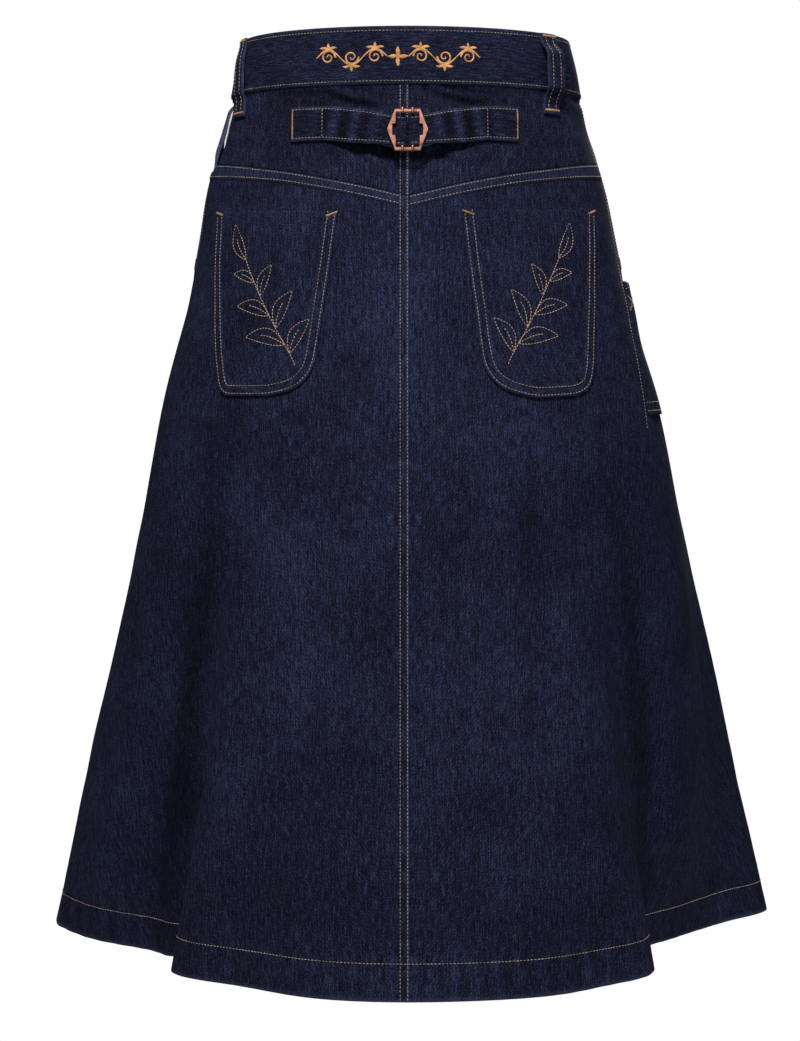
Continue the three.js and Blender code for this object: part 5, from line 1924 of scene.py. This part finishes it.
    def bar(self, side: Side, inner: float, outer: float) -> None:
        """Makes one bar: a rod, and a clip bent round the frame at each end."""
        centre = side.value * self.half_spacing
        y, turn = meshgrid(np.linspace(-inner - 1, inner + 1, 12), np.linspace(0, 2 * np.pi, 25))
        rod = self.from_buckle(
            centre + self.bar_radius * np.cos(turn), y, self.bar_radius * np.sin(turn)
        )
        count = rod.shape[1]
        index = np.arange(rod.shape[0] * count).reshape(-1, count)
        parts, faces, total = [rod.reshape(-1, 3)], [quads(index, flipped=True)], rod.shape[0] * count
        wall, gap, width = 0.8, 0.3, 2.2
        back, front = self.frame_back - gap, self.frame_back + self.frame_thickness + gap
        for way in (1.0, -1.0):
            low, high = inner - gap - wall / 2, outer + gap + wall / 2
            near, far = back - wall / 2, front + wall / 2
            path = np.array([(low, -1.0), (low, far - 0.5), (low + 0.5, far), (high - 0.5, far),
                             (high, far - 0.5), (high, near), (low, near)])
            reach = np.concatenate([[0], np.cumsum(np.linalg.norm(np.diff(path, axis=0), axis=1))])
            even = np.linspace(0, reach[-1], 60)
            path = np.stack([np.interp(even, reach, path[:, k]) for k in range(2)], axis=-1)
            run = unit(np.gradient(path, axis=0))
            aside = np.stack([-run[:, 1], run[:, 0]], axis=-1)
            section = np.array([(-1, -0.6), (-0.8, -1), (0.8, -1), (1, -0.6), (1, 0.6), (0.8, 1),
                                (-0.8, 1), (-1, 0.6), (-1, -0.6)])
            x = centre + section[None, :, 0] * width / 2 + np.zeros((60, 1))
            flat = path[:, None] + aside[:, None] * section[None, :, 1:] * wall / 2
            clip = self.from_buckle(x, way * flat[..., 0], flat[..., 1])
            index = np.arange(clip.shape[0] * 9).reshape(-1, 9) + total
            parts.append(clip.reshape(-1, 3))
            faces.append(quads(index, flipped=way > 0))
            for end, turned in ((index[0, :8], way < 0), (index[-1, :8], way > 0)):
                faces.append((end if turned else end[::-1])[None, :])
            total += len(parts[-1])
        thing = make_object(f"buckle_bar_{side.word}_copper", np.concatenate(parts), faces)
        node = f"buckle_bar_{side.word}"
        self.wardrobe.dress(thing, self.wardrobe.copper, "copper_metal", node)

    def build(self) -> None:
        """Makes the straps, their stitching and the buckle."""
        work, tacks = Needlework(), Needlework()
        for side in Side:
            self.strap(side, work, tacks)
        self.wardrobe.dress(work.make("strap_stitching"), self.wardrobe.thread, "thread")
        self.wardrobe.dress(tacks.make("strap_end_stitching"), self.wardrobe.rust, "thread")
        self.buckle()


@dataclass
class WaistButton:
    """A turned cap with a raised ring and a dished middle, on a short shank."""

    wardrobe: Wardrobe
    stand_off: float = 1.4 + 3.0 + LAY_GAP + 0.3
    radius: float = 8.5
    shank: float = 4.2
    shank_height: float = 1.2
    height: float = 3.4
    ring: float = 2.2

    def build(self) -> None:
        """Turns the profile round the outward line at centre front."""
        r, base, top = self.radius, self.shank_height, self.shank_height + self.height
        profile = np.array([
            (0.001, 0), (self.shank, 0), (self.shank, base), (r - 0.5, base), (r - 0.15, base + 0.15),
            (r, base + 0.6), (r, top - 0.8), (r - 0.25, top - 0.25), (r - 0.8, top),
            (r - self.ring, top), (r - self.ring - 0.4, top - 0.1), (r - self.ring - 0.6, top - 0.45),
            (r * 0.45, top - 0.6), (r * 0.2, top - 0.35), (0.001, top - 0.3),
        ])
        turn = np.linspace(0, 2 * np.pi, 49)
        place = BODY.off(180.0, 0.0, np.array(self.stand_off))
        out = BODY.outward(180.0, 0.0)
        side = unit(np.cross(out, np.array([0.0, 0.0, 1.0])))
        up = np.cross(side, out)
        points = (
            place
            + profile[None, :, :1] * (side * np.cos(turn)[:, None, None]
                                      + up * np.sin(turn)[:, None, None])
            + profile[None, :, 1:] * out
        )
        index = np.arange(49 * len(profile)).reshape(49, -1)
        thing = make_object("waist_button_copper", points.reshape(-1, 3), [quads(index)])
        self.wardrobe.dress(thing, self.wardrobe.copper, "copper_metal", "waist_button")


@dataclass
class Studio:
    """White paper, soft light from around the camera, and a camera behind the skirt."""

    floor_z: float = -1.25
    floor_radius: float = 1.2
    ambient: float = 0.12
    lens: float = 78.47
    camera: tuple[float, float, float] = (-0.0053, -2.0, -0.291)
    pitch: float = 1.52
    shift: float = -0.0549

    def build(self) -> None:
        """Makes the floor, the lights, the surroundings and the camera."""
        mesh = bpy.data.meshes.new("studio_floor")
        turn = np.linspace(0, 2 * np.pi, 97)[:-1]
        rim = np.stack([np.cos(turn), np.sin(turn), np.zeros(96)], axis=-1) * self.floor_radius
        rim[:, 2] = self.floor_z
        mesh.from_pydata(rim.tolist(), [], [list(range(96))])
        floor = bpy.data.objects.new("studio_floor", mesh)
        bpy.context.scene.collection.objects.link(floor)
        floor.data.materials.append(StudioPaper().make())
        world = bpy.data.worlds.new("studio_surroundings")
        bpy.context.scene.world = world
        world.use_nodes = True
        tree = world.node_tree
        room = tree.nodes["Background"]
        room.inputs["Color"].default_value = linear("#ffffff")
        room.inputs["Strength"].default_value = self.ambient
        seen = add_node(tree, "ShaderNodeBackground", links={"Color": linear("#ffffff")})
        direct = add_node(tree, "ShaderNodeLightPath").outputs["Is Camera Ray"]
        both = add_node(
            tree,
            "ShaderNodeMixShader",
            links={0: direct, 1: room.outputs[0], 2: seen.outputs[0]},
        )
        tree.links.new(both.outputs[0], tree.nodes["World Output"].inputs["Surface"])
        self.light("key_softbox", (-0.3, -1.7, 2.36), 0.8, 124)
        self.light("fill_softbox", (1.6, -2.5, 0.2), 1.5, 13)
        self.light("front_softbox", (0.6, 2.3, 1.5), 1.2, 90)
        camera = bpy.data.cameras.new("photograph_view")
        camera.lens = self.lens
        camera.sensor_width = 36.0
        camera.shift_y = self.shift
        seat = bpy.data.objects.new("photograph_view", camera)
        bpy.context.scene.collection.objects.link(seat)
        seat.location = self.camera
        seat.rotation_euler = (math.radians(90 - self.pitch), 0, 0)
        bpy.context.scene.camera = seat
        bpy.context.scene.view_settings.view_transform = "Standard"

    def light(
        self, name: str, place: tuple[float, float, float], size: float, power: float
    ) -> None:
        """Makes a square soft light that faces the middle of the skirt."""
        lamp = bpy.data.lights.new(name, "AREA")
        lamp.shape = "SQUARE"
        lamp.size = size
        lamp.energy = power
        thing = bpy.data.objects.new(name, lamp)
        bpy.context.scene.collection.objects.link(thing)
        thing.location = place
        aim = Vector((0, 0, -0.35)) - Vector(place)
        thing.rotation_euler = aim.to_track_quat("-Z", "Y").to_euler()


def main() -> None:
    """Builds the skirt piece by piece, then the studio."""
    logging.basicConfig(level=logging.INFO, format="%(name)s %(message)s")
    wardrobe = Wardrobe()
    front = FrontBody(wardrobe)
    assemblies = (
        Waistband(wardrobe),
        BackBody(wardrobe),
        front,
        BackPocket(wardrobe, Side.LEFT, LEFT_POCKET, -133.0, -128.0, 0.0),
        BackPocket(wardrobe, Side.RIGHT, RIGHT_POCKET, -132.0, -127.0, 2.0),
        ToolPocket(wardrobe, front),
        BeltLoops(wardrobe),
        Cinch(wardrobe),
        WaistButton(wardrobe),
    )
    for assembly in assemblies:
        assembly.build()
    Studio().build()


if __name__ == "__main__":
    main()
